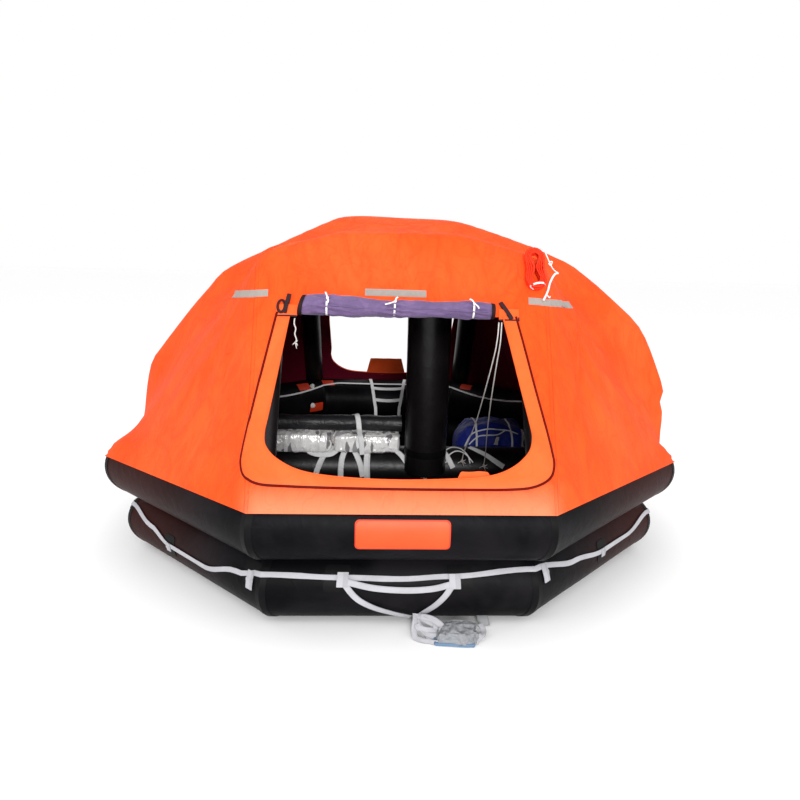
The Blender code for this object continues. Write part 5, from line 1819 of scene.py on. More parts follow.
    def tie(self, frame: Matrix, x: float, number: int) -> None:
        """A tape tied round the roll in a bow, its tails hanging."""
        centre = Vector((x, self.centre_up - self.slope * x, self.centre_out))
        reach = self.radius * self.girth(x) + 0.0028
        ring = []
        for k in range(33):
            turn = 2 * math.pi * k / 32
            out = Vector((0.05 * math.sin(turn), math.sin(turn), math.cos(turn)))
            ring.append((centre + out * reach, out))
        shapes = [Sweep(strap_frames(ring, joined=True), joined=True).strap(0.009, 0.0012, cuts=2)]
        knot = centre + Vector((0.002, 0.55 * reach, 0.84 * reach + 0.003))
        tails = (((-0.006, 0.014, 0.006), (-0.01, 0.026, 0.002)), ((0.004, -0.018, 0.008), (0.002, -0.034, 0.01)))
        if number == 1:
            tails = (((0.004, 0.012, 0.006), (0.012, 0.02, 0.004)), ((-0.022, -0.014, 0.01), (-0.048, -0.022, 0.01)))
        elif number == 2:
            tails = (((-0.01, 0.014, 0.006), (-0.022, 0.022, 0.004)), ((0.012, -0.016, 0.01), (0.018, -0.03, 0.012)))
        for tail in tails:
            path = [knot, *(knot + Vector(p) for p in tail)]
            shapes.append(tape_along(path, lambda p: Vector((0.1, 0.2, 1.0)), 0.0075, 0.001, 5))
        bead = bmesh.new()
        bmesh.ops.create_icosphere(bead, subdivisions=2, radius=0.0062)
        bmesh.ops.scale(bead, vec=(1.25, 0.9, 0.8), verts=bead.verts)
        bmesh.ops.translate(bead, vec=knot, verts=bead.verts)
        shapes.append(bead)
        joined = join_shapes(shapes)
        bmesh.ops.transform(joined, matrix=frame, verts=joined.verts)
        finish_piece(f"{self.label}_curtain_tie_{number + 1}", joined, self.palette.tape, self.body, normals=False)


@dataclass
class Cords(Assembly):
    """The free cords: two at the door head, its short tie, and the hank of heaving line."""

    palette: Palette
    canopy: Canopy
    radius: float = 0.0031
    top: float = 1.3747
    rope_radius: float = 0.0035
    hank_x: float = 0.64
    hank_z: float = 1.618
    rings: tuple = ((0.0225, 0.006), (0.03, 0.0165), (0.0375, 0.0275), (0.045, 0.039))
    layers: int = 6
    half: float = 0.06

    def build(self) -> None:
        """Make each cord."""
        left = [(0.456, -1.148, self.top), (0.456, -1.148, 1.35), (0.456, -1.13, 1.285), (0.454, -1.073, 1.193),
                (0.452, -0.889, 0.996), (0.462, -0.581, 0.753), (0.458, -0.24, 0.5), (0.455, -0.158, 0.4)]
        right = [(0.47, -1.149, self.top), (0.47, -1.149, 1.35), (0.471, -1.132, 1.27), (0.473, -1.06, 1.16),
                 (0.49, -0.88, 0.96), (0.535, -0.57, 0.71), (0.59, -0.245, 0.47), (0.598, -0.162, 0.37)]
        tie = [(-0.506, -1.148, self.top), (-0.509, -1.148, 1.35), (-0.502, -1.147, 1.326), (-0.507, -1.145, 1.302),
               (-0.5, -1.143, 1.276), (-0.504, -1.142, 1.262)]
        for name, node, route, end in (("door_cord_left_braid", "door_cord_left", left, "knot"),
                                       ("door_cord_right_braid", "door_cord_right", right, "knot"),
                                       ("door_tie_braid", "door_tie", tie, "bare")):
            path = smooth_path(route, 8)
            self.knot(f"{node}_knot", path[-1], 0.0088 if end == "knot" else 0.0045)
            self.cord(name, node, path, self.radius, self.palette.cord, end, "hanging", "limp")
        self.hank()

    def cord(self, name: str, node: str, path: Sequence[Vector], radius: float, finish: Finish, end: str, lay: str,
             stiffness: str) -> None:
        """One cord along its path; its length is worked out but not passed on."""
        shape = Sweep(path_frames(path)).tube(radius, 12)
        piece = finish_piece(name, shape, finish, nodes=(node,))
        length = sum((b - a).length for a, b in zip(path, path[1:]))
        tuple(path[0])
        [tuple(p) for p in path]

    def knot(self, name: str, foot: Vector, size: float) -> None:
        """The knot at a cord's foot and the short frayed ends below it."""
        bead = bmesh.new()
        bmesh.ops.create_icosphere(bead, subdivisions=3, radius=size)
        bmesh.ops.scale(bead, vec=(1.15, 0.95, 1.25), verts=bead.verts)
        bmesh.ops.translate(bead, vec=foot, verts=bead.verts)
        ruffle(bead, 0.0016, 160.0, foot.x)
        shapes = [bead]
        for k, (x, z) in enumerate(((-0.03, -0.014), (0.026, -0.018), (0.012, -0.034), (0.024, 0.012))):
            x, z = (x * 0.45, z * 0.9) if size < 0.006 else (x, z)
            ends = [foot, foot + Vector((x * 0.5, -0.004 - 0.002 * k, z * 0.4)), foot + Vector((x, -0.006, z))]
            shapes.append(Sweep(path_frames(smooth_path(ends, 4), [1, 1, 1, 1, 1, 1, 0.8, 0.6, 0.4])).tube(0.0026, 8))
        finish_piece(name, join_shapes(shapes), self.palette.cord)

    def hank(self) -> None:
        """The heaving line, wound into a hank that hangs on the wall."""
        frame = self.canopy.wall_frame(self.hank_z, self.hank_x, 0.0006)
        turns = [(ring, layer) for layer in range(self.layers)
                 for ring in (self.rings if layer % 2 == 0 else self.rings[::-1])]
        pitch = 0.0076
        path = []
        count = 36
        for index, (ring, layer) in enumerate(turns):
            after_ring, after_layer = turns[min(index + 1, len(turns) - 1)]
            for k in range(count):
                share = k / count
                ease = share * share * (3 - 2 * share)
                size = [a + (b - a) * ease for a, b in zip(ring, after_ring)]
                height = (layer + (after_layer - layer) * ease + 0.55) * pitch
                path.append(self.strand(share, size[0], size[1], height, index))
        path = [frame @ p for p in path]
        self.cord("heaving_line_hank", "heaving_line", path, self.rope_radius, self.palette.rope, "bare", "coiled",
                  "limp")
        ties = [((0.03, 0.112, 0.03), (0.046, 0.094, 0.04), (0.052, 0.066, 0.046), (0.07, 0.034, 0.03),
                 (0.094, 0.008, 0.006), (0.118, -0.01, 0.003)),
                ((0.118, -0.01, 0.005), (0.098, -0.02, 0.006), (0.074, -0.062, 0.005), (0.058, -0.112, 0.004),
                 (0.034, -0.16, 0.004)),
                ((0.07, 0.036, 0.028), (0.086, 0.04, 0.024), (0.078, 0.022, 0.02), (0.066, 0.03, 0.026)),
                ((0.052, -0.13, 0.006), (0.062, -0.148, 0.01), (0.068, -0.138, 0.006)),
                ((-0.034, -0.1, 0.034), (-0.006, -0.094, 0.05), (0.026, -0.09, 0.048), (0.04, -0.088, 0.03)),
                ((-0.034, -0.1, 0.03), (-0.01, -0.104, 0.012), (0.02, -0.098, 0.006))]
        shapes = []
        for number, table in enumerate(ties):
            points = [frame @ Vector(p) for p in table]
            width = 0.0095 if number in (1, 4, 5) else 0.0052
            shapes.append(tape_along(points, lambda p: self.canopy.wall_out(End.FRONT), width, 0.0014, 7))
        finish_piece("heaving_line_tie", join_shapes(shapes), self.palette.tape)

    def strand(self, share: float, radius: float, wide: float, height: float, index: int) -> Vector:
        """A place on a turn of the hank: two long strands that swell in the middle, and a bend at each end."""
        bend = math.pi * radius
        total = 4 * self.half + 2 * bend
        way = share * total
        if way < 2 * self.half:
            y = -self.half + way
            spot = Vector((radius + (wide - radius) * math.cos(math.pi * y / (2 * self.half)) ** 2, y, height))
        elif way < 2 * self.half + bend:
            turn = (way - 2 * self.half) / radius
            spot = Vector((radius * math.cos(turn), self.half + radius * math.sin(turn), height))
        elif way < 4 * self.half + bend:
            y = self.half - (way - 2 * self.half - bend)
            spot = Vector((-radius - (wide - radius) * math.cos(math.pi * y / (2 * self.half)) ** 2, y, height))
        else:
            turn = (way - 4 * self.half - bend) / radius
            spot = Vector((-radius * math.cos(turn), -self.half - radius * math.sin(turn), height))
        loose = 0.0009 * noise.noise(Vector((spot.x * 14, spot.y * 14, index * 0.37)))
        layer = height / 0.0076
        aside = Vector((0.004 * math.sin(layer * 2.1), 0.003 * math.sin(layer * 2.9 + 1.0), 0))
        return spot + aside + Vector((loose, loose * 1.5, 0))


@dataclass
class Lines(Assembly):
    """The lifelines, the ladders, the loops beside the doors, and the patches that hold them."""

    palette: Palette
    canopy: Canopy
    outer_half: tuple = ((-157.5, 34), (-148, 14), (-140.9, -2.6), (-128, -3.6), (-118, 18), (-112.5, 31),
                         (-100, 27), (-90, 25), (-81.5, 29), (-67.5, 40), (-56, 20), (-45.7, 8), (-34, 8), (-23, 26))

    inner_anchors: tuple[float, ...] = (28.0, 72.6, 107.4, 152.0, 208.0, 252.6, 287.4, 332.0)

    def inner_turn(self, compass: float) -> float:
        """The inner line's angle round the upper tube, sagging between its anchors."""
        anchors = (self.inner_anchors[-1] - 360, *self.inner_anchors, self.inner_anchors[0] + 360)
        for a, b in zip(anchors, anchors[1:]):
            if compass <= b:
                share = (compass - a) / (b - a)
                sag = 26.0 if b - a > 40 else 2.0
                return 120 + sag * 4 * share * (1 - share)
        return 120.0

    def outer_turn(self, compass: float) -> float:
        """The outer line's angle round the lower tube."""
        way = (compass + 180) % 360 - 180
        front = way if way <= 0 else -way
        table = self.outer_half
        if front <= table[0][0]:
            t = (front + 180) / (table[0][0] + 180)
            return 8 + (table[0][1] - 8) * t * t
        if front >= table[-1][0]:
            t = front / table[-1][0]
            return 8 + (table[-1][1] - 8) * t * t
        for (a, low), (b, high) in zip(table, table[1:]):
            if front <= b:
                t = (front - a) / (b - a)
                t = t * t * (3 - 2 * t)
                return low * (1 - t) + high * t
        return table[-1][1]

    def build(self) -> None:
        """Make the webbing pieces."""
        self.outer_line()
        self.inner_line()
        self.boarding_ladder()
        self.cabin_ladder()
        for end in End:
            self.door_loops(end)

    def glued(self, tube: Tube, compass: float, turn: float, width: float, height: float, lift: float = 0.0008,
              thickness: float = 0.002, corner: float = 0.014) -> bmesh.types.BMesh:
        """A patch glued on a hull tube."""
        apothem, _ = HULL.line(tube)

        def place(x: float, y: float) -> Station:
            turned = turn + math.degrees(y / HULL.sizes.skin_radius)
            return HULL.at(tube, compass + math.degrees(x / apothem), turned, lift)

        flat = flat_patch(width, height, corner, 5, 8)
        if math.cos(math.radians(turn)) < 0:
            bmesh.ops.reverse_faces(flat, faces=flat.faces)
        return wrap(flat, place, thickness)

    def outer_line(self) -> None:
        """The lifeline round the lower tube, hung from its anchors, with their patches and tabs."""
        stations = []
        for k in range(241):
            compass = -180 + 1.5 * k
            stations.append(HULL.at(Tube.LOWER, compass, self.outer_turn(compass), 0.005))
        shape = Sweep(strap_frames(stations, joined=True), joined=True).strap(0.024, 0.0024, crown=0.001)
        ruffle(shape, 0.0022, 9.0, 2.0)
        finish_piece("outer_lifeline_webbing", shape, self.palette.line, nodes=("outer_lifeline",))
        patches, tabs = [], []
        corners = [-112.5, -67.5, -157.5, -22.5, 22.5, 67.5, 112.5, 157.5]
        for compass in corners + [-140.9, -45.0, 45.0, 140.9, 0.0, 180.0, 90.0]:
            off = 2.2 if compass in corners else 0.0
            place = compass + (off if compass < 0 and compass > -90 or compass > 90 else -off)
            turn = self.outer_turn(place)
            patches.append(self.glued(Tube.LOWER, place, turn, 0.085, 0.11))
            drop, length = (10, 0.078) if compass in corners else (3, 0.042)
            tabs.append(self.glued(Tube.LOWER, place, turn - drop, 0.036, length, 0.0085, 0.002, 0.003))
            tabs.append(self.glued(Tube.LOWER, place, turn - drop, 0.04, 0.014, 0.0105, 0.0016, 0.003))
        finish_piece("outer_line_patches", join_shapes(patches), self.palette.patch)
        finish_piece("outer_line_tabs", join_shapes(tabs), self.palette.line)

    def inner_line(self) -> None:
        """The lifeline inside the cabin, sagging between its anchors."""
        stations = []
        for k in range(241):
            compass = 1.5 * k
            stations.append(HULL.at(Tube.UPPER, compass, self.inner_turn(compass), 0.003))
        shape = Sweep(strap_frames(stations, joined=True), joined=True).strap(0.014, 0.0022)
        finish_piece("inner_lifeline_webbing", shape, self.palette.strap, nodes=("inner_lifeline",))
        patches = [self.glued(Tube.UPPER, a, self.inner_turn(a), 0.075, 0.075) for a in self.inner_anchors]
        finish_piece("inner_line_patches", join_shapes(patches), self.palette.patch)

    def on_front(self, x: float, turn: float, lift: float) -> Station:
        """A place on the lower tube's front side."""
        return HULL.on_side(Tube.LOWER, -90, x, turn, lift)

    def boarding_ladder(self) -> None:
        """The boarding ladder: legs from two patches, a slack rung, and its folded foot on the floor."""
        legs = []
        tables = {
            "left": [(-0.262, 34), (-0.258, 24), (-0.236, 12), (-0.19, -4), (-0.12, -18), (-0.03, -31), (0.052, -42)],
            "right": [(0.246, 32), (0.24, 22), (0.224, 12), (0.198, 0), (0.158, -14), (0.112, -28), (0.076, -42)],
        }
        for table in tables.values():
            path = smooth_path([(x, turn, 0) for x, turn in table], 6)
            stations = [self.on_front(p.x, p.y, 0.012) for p in path]
            legs.append(Sweep(strap_frames(stations)).strap(0.028, 0.0026))
        rung = smooth_path([(-0.24, 21, 0), (-0.12, 13, 0), (0.02, 10, 0), (0.14, 12, 0), (0.226, 18, 0)], 8)
        legs.append(Sweep(strap_frames([self.on_front(p.x, p.y, 0.016) for p in rung])).strap(0.028, 0.0026))
        for x, turn in ((-0.256, 24), (0.241, 22)):
            compass = -90 + math.degrees(math.atan2(x, HULL.line(Tube.LOWER)[0] + 0.15))
            legs.append(self.glued(Tube.LOWER, compass, turn, 0.044, 0.06, 0.0165, 0.0024, 0.003))
        legs += self.folded_foot()
        finish_piece("boarding_ladder_webbing", join_shapes(legs), self.palette.line, nodes=("boarding_ladder",))
        reach = HULL.line(Tube.LOWER)[0]
        patches = [self.glued(Tube.LOWER, -90 + math.degrees(math.atan2(x, reach)), 26, 0.1, 0.12)
                   for x in (-0.256, 0.242)]
        finish_piece("boarding_ladder_patches", join_shapes(patches), self.palette.patch)
        step = pillow(Vector((0.18, 0.1, 0.014)), Vector((0.24, -1.616, 0.009)), 12, 0.003, 0.5, -0.08)
        ruffle(step, 0.002, 14.0, 5.0)
        finish_piece("boarding_ladder_step", step, self.palette.step)
        bundle = pillow(Vector((0.16, 0.1, 0.052)), Vector((0.254, -1.612, 0.034)), 40, 0.012, 0.5, -0.1)
        bundle.normal_update()
        for point in bundle.verts:
            p = point.co * 15
            ridge = 1 - abs(2 * noise.noise(p)) + 0.5 * (1 - abs(2 * noise.noise(p * 2.3)))
            point.co += point.normal * (0.015 * ridge - 0.015)
            point.co.z = max(point.co.z, 0.014)
        finish_piece("boarding_ladder_bundle", bundle, self.palette.bundle, sharp=70)
        tail = [Vector(p) for p in ((0.384, -1.38, 0.03), (0.385, -1.42, 0.036), (0.387, -1.45, 0.036),
                                    (0.39, -1.478, 0.026), (0.393, -1.5, 0.006))]
        finish_piece("boarding_ladder_strap_end", tape_along(tail, lambda p: Vector((0.0, -0.6, 1.0)), 0.054, 0.0026),
                     self.palette.grey_strap)

    def folded_foot(self) -> list[bmesh.types.BMesh]:
        """The ladder's lower part, folded in loose loops on the floor."""
        tables = [
            [(0.06, -1.508, 0.104), (0.056, -1.54, 0.074), (0.052, -1.566, 0.04), (0.056, -1.59, 0.012),
             (0.09, -1.612, 0.005), (0.15, -1.622, 0.005)],
            [(0.07, -1.512, 0.098), (0.096, -1.536, 0.09), (0.14, -1.556, 0.074), (0.166, -1.566, 0.056),
             (0.15, -1.574, 0.044), (0.104, -1.572, 0.046), (0.07, -1.562, 0.056), (0.064, -1.552, 0.07)],
            [(0.066, -1.53, 0.076), (0.08, -1.56, 0.052), (0.11, -1.586, 0.03), (0.15, -1.596, 0.026),
             (0.172, -1.59, 0.036), (0.176, -1.58, 0.052), (0.168, -1.572, 0.068)],
            [(0.084, -1.528, 0.1), (0.13, -1.548, 0.1), (0.17, -1.572, 0.08), (0.19, -1.596, 0.048),
             (0.21, -1.616, 0.022), (0.262, -1.634, 0.017), (0.33, -1.63, 0.018)],
            [(0.16, -1.59, 0.062), (0.19, -1.604, 0.06), (0.24, -1.624, 0.04), (0.3, -1.628, 0.034),
             (0.345, -1.606, 0.034), (0.362, -1.57, 0.04), (0.35, -1.54, 0.06)],
            [(0.1, -1.6, 0.01), (0.13, -1.626, 0.008), (0.18, -1.64, 0.017), (0.24, -1.646, 0.014)],
        ]
        made = []
        for k, table in enumerate(tables):
            path = smooth_path([(x + 0.012, y - 0.014, z * 0.76) for x, y, z in table], 7)
            stations = []
            for j, point in enumerate(path):
                ahead = (path[min(j + 1, len(path) - 1)] - path[max(j - 1, 0)]).normalized()
                out = Vector((0.45 * math.sin(j * 0.3 + k * 2), -0.8, 0.55 + 0.3 * math.sin(j * 0.2 + k * 3)))
                stations.append((point, (out - ahead * ahead.dot(out)).normalized()))
            made.append(Sweep(strap_frames(stations)).strap(0.027, 0.0026, cuts=3))
        return made

    def cabin_ladder(self) -> None:
        """The ladder inside the rear door, down the inner faces of both tubes."""
        shapes = []
        for side in (-1, 1):
            table = [(0.15, 98), (0.142, 115), (0.134, 131), (0.126, 147), (0.118, 164), (0.11, 180), (0.102, 194)]
            stations = [HULL.on_side(Tube.UPPER, 90, side * x, turn, 0.009)
                        for x, turn in [(p.x, p.y) for p in smooth_path([(x, t, 0) for x, t in table], 4)]]
            lower = [(0.096, 128), (0.088, 142), (0.08, 158), (0.076, 172)]
            stations += [HULL.on_side(Tube.LOWER, 90, side * x, turn, 0.009) for x, turn in lower]
            shapes.append(Sweep(strap_frames(stations)).strap(0.026, 0.0026))
        for tube, x, turn in ((Tube.UPPER, 0.134, 139), (Tube.UPPER, 0.116, 171), (Tube.LOWER, 0.084, 155)):
            stations = [HULL.on_side(tube, 90, x * k / 6, turn + 3 * (1 - (k / 6) ** 2), 0.013) for k in range(-6, 7)]
            shapes.append(Sweep(strap_frames(stations)).strap(0.026, 0.0026))
        finish_piece("cabin_ladder_webbing", join_shapes(shapes), self.palette.strap, nodes=("cabin_ladder",))

    def door_loops(self, end: End) -> None:
        """The black loops beside the door head: a flat one each side, and a small round one on the left."""
        label = end.name.lower()
        for side, x, z, lean in (("left", -0.543, 1.437, 0.18), ("right", 0.489, 1.424, -0.53)):
            frame = self.canopy.wall_frame(z, x, 0.0125, end)
            turn = frame.to_3x3()
            way = Vector((math.sin(lean), math.cos(lean), 0))
            stations = []
            for k in range(41):
                angle = 2 * math.pi * k / 40
                spot = way * (0.048 * math.cos(angle)) + Vector((0, 0, 0.004 * math.sin(angle)))
                out = way * (0.004 * math.cos(angle)) + Vector((0, 0, 0.048 * math.sin(angle)))
                stations.append((frame @ spot, turn @ out.normalized()))
            shapes = [Sweep(strap_frames(stations, joined=True), joined=True).strap(0.019, 0.0024, cuts=2)]
            if side == "left":
                ring = []
                for k in range(41):
                    angle = 2 * math.pi * k / 40
                    spot = Vector((-0.026 + 0.0165 * math.cos(angle), -0.013 + 0.031 * math.sin(angle), -0.004))
                    out = Vector((math.cos(angle), math.sin(angle), 1.6))
                    ring.append((frame @ spot, turn @ out.normalized()))
                shapes.append(Sweep(strap_frames(ring, joined=True), joined=True).strap(0.014, 0.0026, cuts=2))
            box = flat_patch(0.03, 0.026, 0.004, 2, 2)
            foot = self.canopy.wall_frame(z - 0.045, x - way.x * 0.046, 0.0012, end)
            wrap(box, lambda px, py: (foot @ Vector((px, py, 0)), foot.to_3x3() @ Vector((0, 0, 1))), 0.0026)
            self.head_tab(end, side, math.copysign(1.0, x))
            finish_piece(f"{label}_loop_{side}_strap", join_shapes([*shapes, box]), self.palette.black_strap,
                         nodes=(f"{label}_loop_{side}",))

    def head_tab(self, end: End, side: str, sign: float) -> None:
        """The short tab of canopy cloth, edged in black, that holds a loop beside the door head."""
        label = end.name.lower()
        frame = self.canopy.wall_frame(1.409, 0.503 if sign > 0 else -0.543, 0.0016, end)
        turn = frame.to_3x3()

        def place(x: float, y: float) -> Station:
            lift = 0.006 * math.cos(min(1.5, abs(x) * 26)) + 0.0015 * math.sin(y * 90)
            return frame @ Vector((x, y, lift)), turn @ Vector((0, 0, 1))

        tab = flat_patch(0.096, 0.056, 0.003, 8, 4)
        wrap(tab, place, 0.0016)
        finish_piece(f"{label}_head_tab_{side}", tab, self.palette.frame_strip, sharp=50)
        edge = tape_along([place(x, -0.0285)[0] for x in (-0.048, -0.024, 0.0, 0.024, 0.048)],
                          lambda p: turn @ Vector((0, -0.3, 1)), 0.007, 0.003, 3)
        rim = tape_along([place(sign * 0.046, y)[0] for y in (-0.03, -0.024, -0.018, -0.012)],
                         lambda p: turn @ Vector((0, 0, 1)), 0.007, 0.003, 3)
        finish_piece(f"{label}_head_tab_edge_{side}", join_shapes([edge, rim]), self.palette.black_strap)


@dataclass
class Equipment(Assembly):
    """The foil pack on the thwart and the bag behind it, with their straps."""

    palette: Palette

    def build(self) -> None:
        """Make the pack, the bag and the straps."""
        self.foil_pack()
        self.bag()
        self.thwart_straps()

    @staticmethod
    def over_thwart(point: Vector, spare: float = 0.0015) -> Vector:
        """A point kept over the thwart's top."""
        reach = 0.1396 + spare
        if abs(point.y) < reach:
            low = 0.312 + math.sqrt(reach ** 2 - point.y ** 2)
            if point.z < low:
                return Vector((point.x, point.y, low))
        return point

    def foil_pack(self) -> None:
        """Two foil-wrapped packs side by side, crumpled, strapped down to the thwart."""
        shapes = []
        for size, place, seed in ((Vector((0.454, 0.262, 0.12)), Vector((-0.619, 0.0, 0.498)), 1.0),
                                  (Vector((0.424, 0.258, 0.114)), Vector((-0.165, -0.004, 0.495)), 7.0)):
            shape = pillow(size, place, 44, 0.01, 0.42, 0.0)
            shape = swell(shape, 0.005, held=lambda p: abs(p.x + 0.24) < 0.02)
            shape.normal_update()
            for point in shape.verts:
                p = point.co * 5.5 + Vector((seed, 0, 0))
                crease = 1 - abs(2 * noise.noise(p))
                small = 1 - abs(2 * noise.noise(p * 3.1))
                point.co += point.normal * (0.007 * crease ** 2 + 0.004 * small ** 4 - 0.006)
            for point in shape.verts:
                point.co = self.over_thwart(point.co)
                point.co.y = max(-0.1345, min(0.1345, point.co.y))
            shapes.append(shape)
        piece = finish_piece("foil_pack_wrap", join_shapes(shapes), self.palette.foil, nodes=("foil_pack",), sharp=28)
        path = [Vector((-0.845 + 0.905 * k / 90, -0.012 + 0.004 * math.sin(k * 0.13), 0.612)) for k in range(91)]
        girths = [1 - 0.1 * math.exp(-((p.x + 0.225) / 0.03) ** 2) + 0.03 * math.sin(p.x * 31) for p in path]
        roll = Sweep(path_frames(path, girths)).tube(0.052, 40)
        roll.normal_update()
        for point in roll.verts:
            turn = math.atan2(point.co.z - 0.612, point.co.y + 0.012)
            point.co += point.normal * 0.0035 * noise.noise(Vector((point.co.x * 6, turn * 1.4, 2.0)))
        finish_piece("stowed_cover_roll", roll, self.palette.roll_cloth, sharp=50)
        ring = [(-0.196, -0.139, 0.43), (-0.2, -0.1405, 0.49), (-0.206, -0.138, 0.541), (-0.212, -0.12, 0.558),
                (-0.218, -0.075, 0.586), (-0.222, -0.066, 0.626), (-0.23, -0.04, 0.661), (-0.24, -0.008, 0.67),
                (-0.262, 0.034, 0.652), (-0.27, 0.06, 0.606), (-0.27, 0.11, 0.563), (-0.27, 0.138, 0.541),
                (-0.27, 0.1405, 0.49), (-0.27, 0.139, 0.43)]
        middle = Vector((-0.24, 0.02, 0.54))
        shape = tape_along([Vector(p) for p in ring], lambda p: (p - middle).normalized(), 0.034, 0.0024, 5)
        finish_piece("foil_pack_strap", shape, self.palette.strap, nodes=("pack_strap",))

    def bag(self) -> None:
        """The blue bag, sagging on the floor, with its white handles, tag and strings."""
        place = Vector((0.72, 0.32, 0.313))
        shape = pillow(Vector((0.478, 0.296, 0.505)), place, 36, 0.006, 0.62, 0.0)
        shape = swell(shape, 0.016, 0.007, held=lambda p: min(abs(p.x - 0.6), abs(p.x - 0.85)) < 0.01)
        shape.normal_update()
        for point in shape.verts:
            p = point.co
            height = max(0.0, (p.z - 0.05) / 0.53)
            fold = 0.01 * (1 - abs(2 * noise.noise(Vector((p.x * 6, p.y * 6, p.z * 3.2))))) ** 2 - 0.005
            fold += 0.004 * (1 - abs(2 * noise.noise(Vector((p.x * 15, p.y * 12, p.z * 9))))) ** 3
            p += point.normal * fold
            slump = max(0.0, height - 0.7) / 0.3
            p.x = place.x + (p.x - place.x) * (1 - 0.1 * slump) + 0.014 * slump
            p.y = place.y + (p.y - place.y) * (1 - 0.16 * slump) + 0.01 * slump
            p.z -= 0.03 * slump * (0.5 + noise.noise(Vector((p.x * 5.0, p.y * 4.0, 3.0))))
            p.z = max(p.z, 0.0515)
        tree = BVHTree.FromBMesh(shape)
        piece = finish_piece("equipment_bag_body", shape, self.palette.bag, nodes=("equipment_bag",), sharp=60)

        def on_bag(point: Vector, lift: float) -> Station:
            hit, normal, _, _ = tree.find_nearest(point)
            if normal.dot(hit - place) < 0:
                normal = -normal
            return hit + normal * lift, normal

        tables = [([(x, 0.158, 0.08), (x, 0.158, 0.3), (x + 0.004, 0.16, 0.48), (x - 0.004, 0.176, 0.56),
                    (x, 0.23, 0.588), (x, 0.4, 0.588), (x, 0.464, 0.56), (x, 0.482, 0.3), (x, 0.482, 0.08)], 0.014)
                  for x in (0.6, 0.85)]
        tables += [([(0.51, 0.16, 0.4), (0.53, 0.15, 0.47), (0.58, 0.16, 0.525), (0.69, 0.165, 0.548),
                     (0.8, 0.165, 0.54), (0.905, 0.17, 0.515)], 0.009),
                   ([(0.545, 0.15, 0.43), (0.6, 0.15, 0.48), (0.68, 0.15, 0.5), (0.76, 0.15, 0.505),
                     (0.8, 0.155, 0.545)], 0.009),
                   ([(0.94, 0.2, 0.56), (0.952, 0.19, 0.5), (0.94, 0.18, 0.44), (0.95, 0.18, 0.38)], 0.02)]
        straps = []
        for number, (table, width) in enumerate(tables):
            stations = [on_bag(point, 0.0034 + 0.0014 * (number > 1)) for point in smooth_path(table, 6)]
            kept = stations[:1]
            for station in stations:
                if (station[0] - kept[-1][0]).length > 0.012:
                    kept.append(station)
            for _ in range(3):
                kept[1:-1] = [((a[0] + b[0] * 2 + c[0]) / 4, (a[1] + b[1] * 2 + c[1]).normalized())
                              for a, b, c in zip(kept, kept[1:], kept[2:])]
            straps.append(Sweep(strap_frames(kept)).strap(width, 0.002, cuts=2))
        finish_piece("equipment_bag_straps", join_shapes(straps), self.palette.strap)
        tag = flat_patch(0.034, 0.062, 0.004, 3, 5)
        wrap(tag, lambda x, y: on_bag(Vector((0.742 + x + 0.2 * y, 0.14, 0.462 + y)), 0.006), 0.0012)
        finish_piece("equipment_bag_tag", tag, self.palette.tape)

    def thwart_straps(self) -> None:
        """The webbing that hangs down the thwart's front and over the pack."""
        middle = Vector((0, 0, 0.312))

        def out(point: Vector) -> Vector:
            return Vector((0, point.y, point.z - middle.z)).normalized()

        def station(x: float, degrees: float, lift: float) -> Vector:
            turn = math.radians(degrees)
            reach = 0.1396 + lift
            return Vector((x, -reach * math.cos(turn), 0.312 + reach * math.sin(turn)))

        tables = [
            [(-0.384, 80), (-0.42, 56), (-0.449, 41), (-0.47, 22), (-0.49, 0), (-0.496, -14)],
            [(-0.163, 78), (-0.163, 48), (-0.165, 20), (-0.163, -6), (-0.16, -20)],
            [(-0.334, -12), (-0.332, 18), (-0.32, 46), (-0.294, 68), (-0.262, 66), (-0.232, 45), (-0.205, 18),
             (-0.19, -12)],
            [(-0.06, 84), (-0.006, 72), (0.06, 46), (0.12, 14), (0.18, -2), (0.232, -13)],
            [(0.52, 80), (0.56, 66), (0.62, 50), (0.68, 32), (0.735, 18)],
            [(0.318, 84), (0.335, 66), (0.365, 42), (0.4, 14)],
            [(0.33, 38), (0.352, 60), (0.405, 76), (0.462, 68), (0.5, 46), (0.512, 26)],
            [(0.352, 26), (0.38, 48), (0.432, 60), (0.486, 50), (0.532, 28)],
            [(-0.56, 62), (-0.53, 50), (-0.47, 44), (-0.4, 46), (-0.36, 58)],
        ]
        shapes = [tape_along([station(x, turn, 0.004 + 0.0012 * k) for x, turn in table], out,
                             (0.036, 0.04, 0.036, 0.034, 0.034, 0.034, 0.008, 0.008, 0.036)[k], 0.0022, 6)
                  for k, table in enumerate(tables)]
        finish_piece("thwart_webbing", join_shapes(shapes), self.palette.strap)


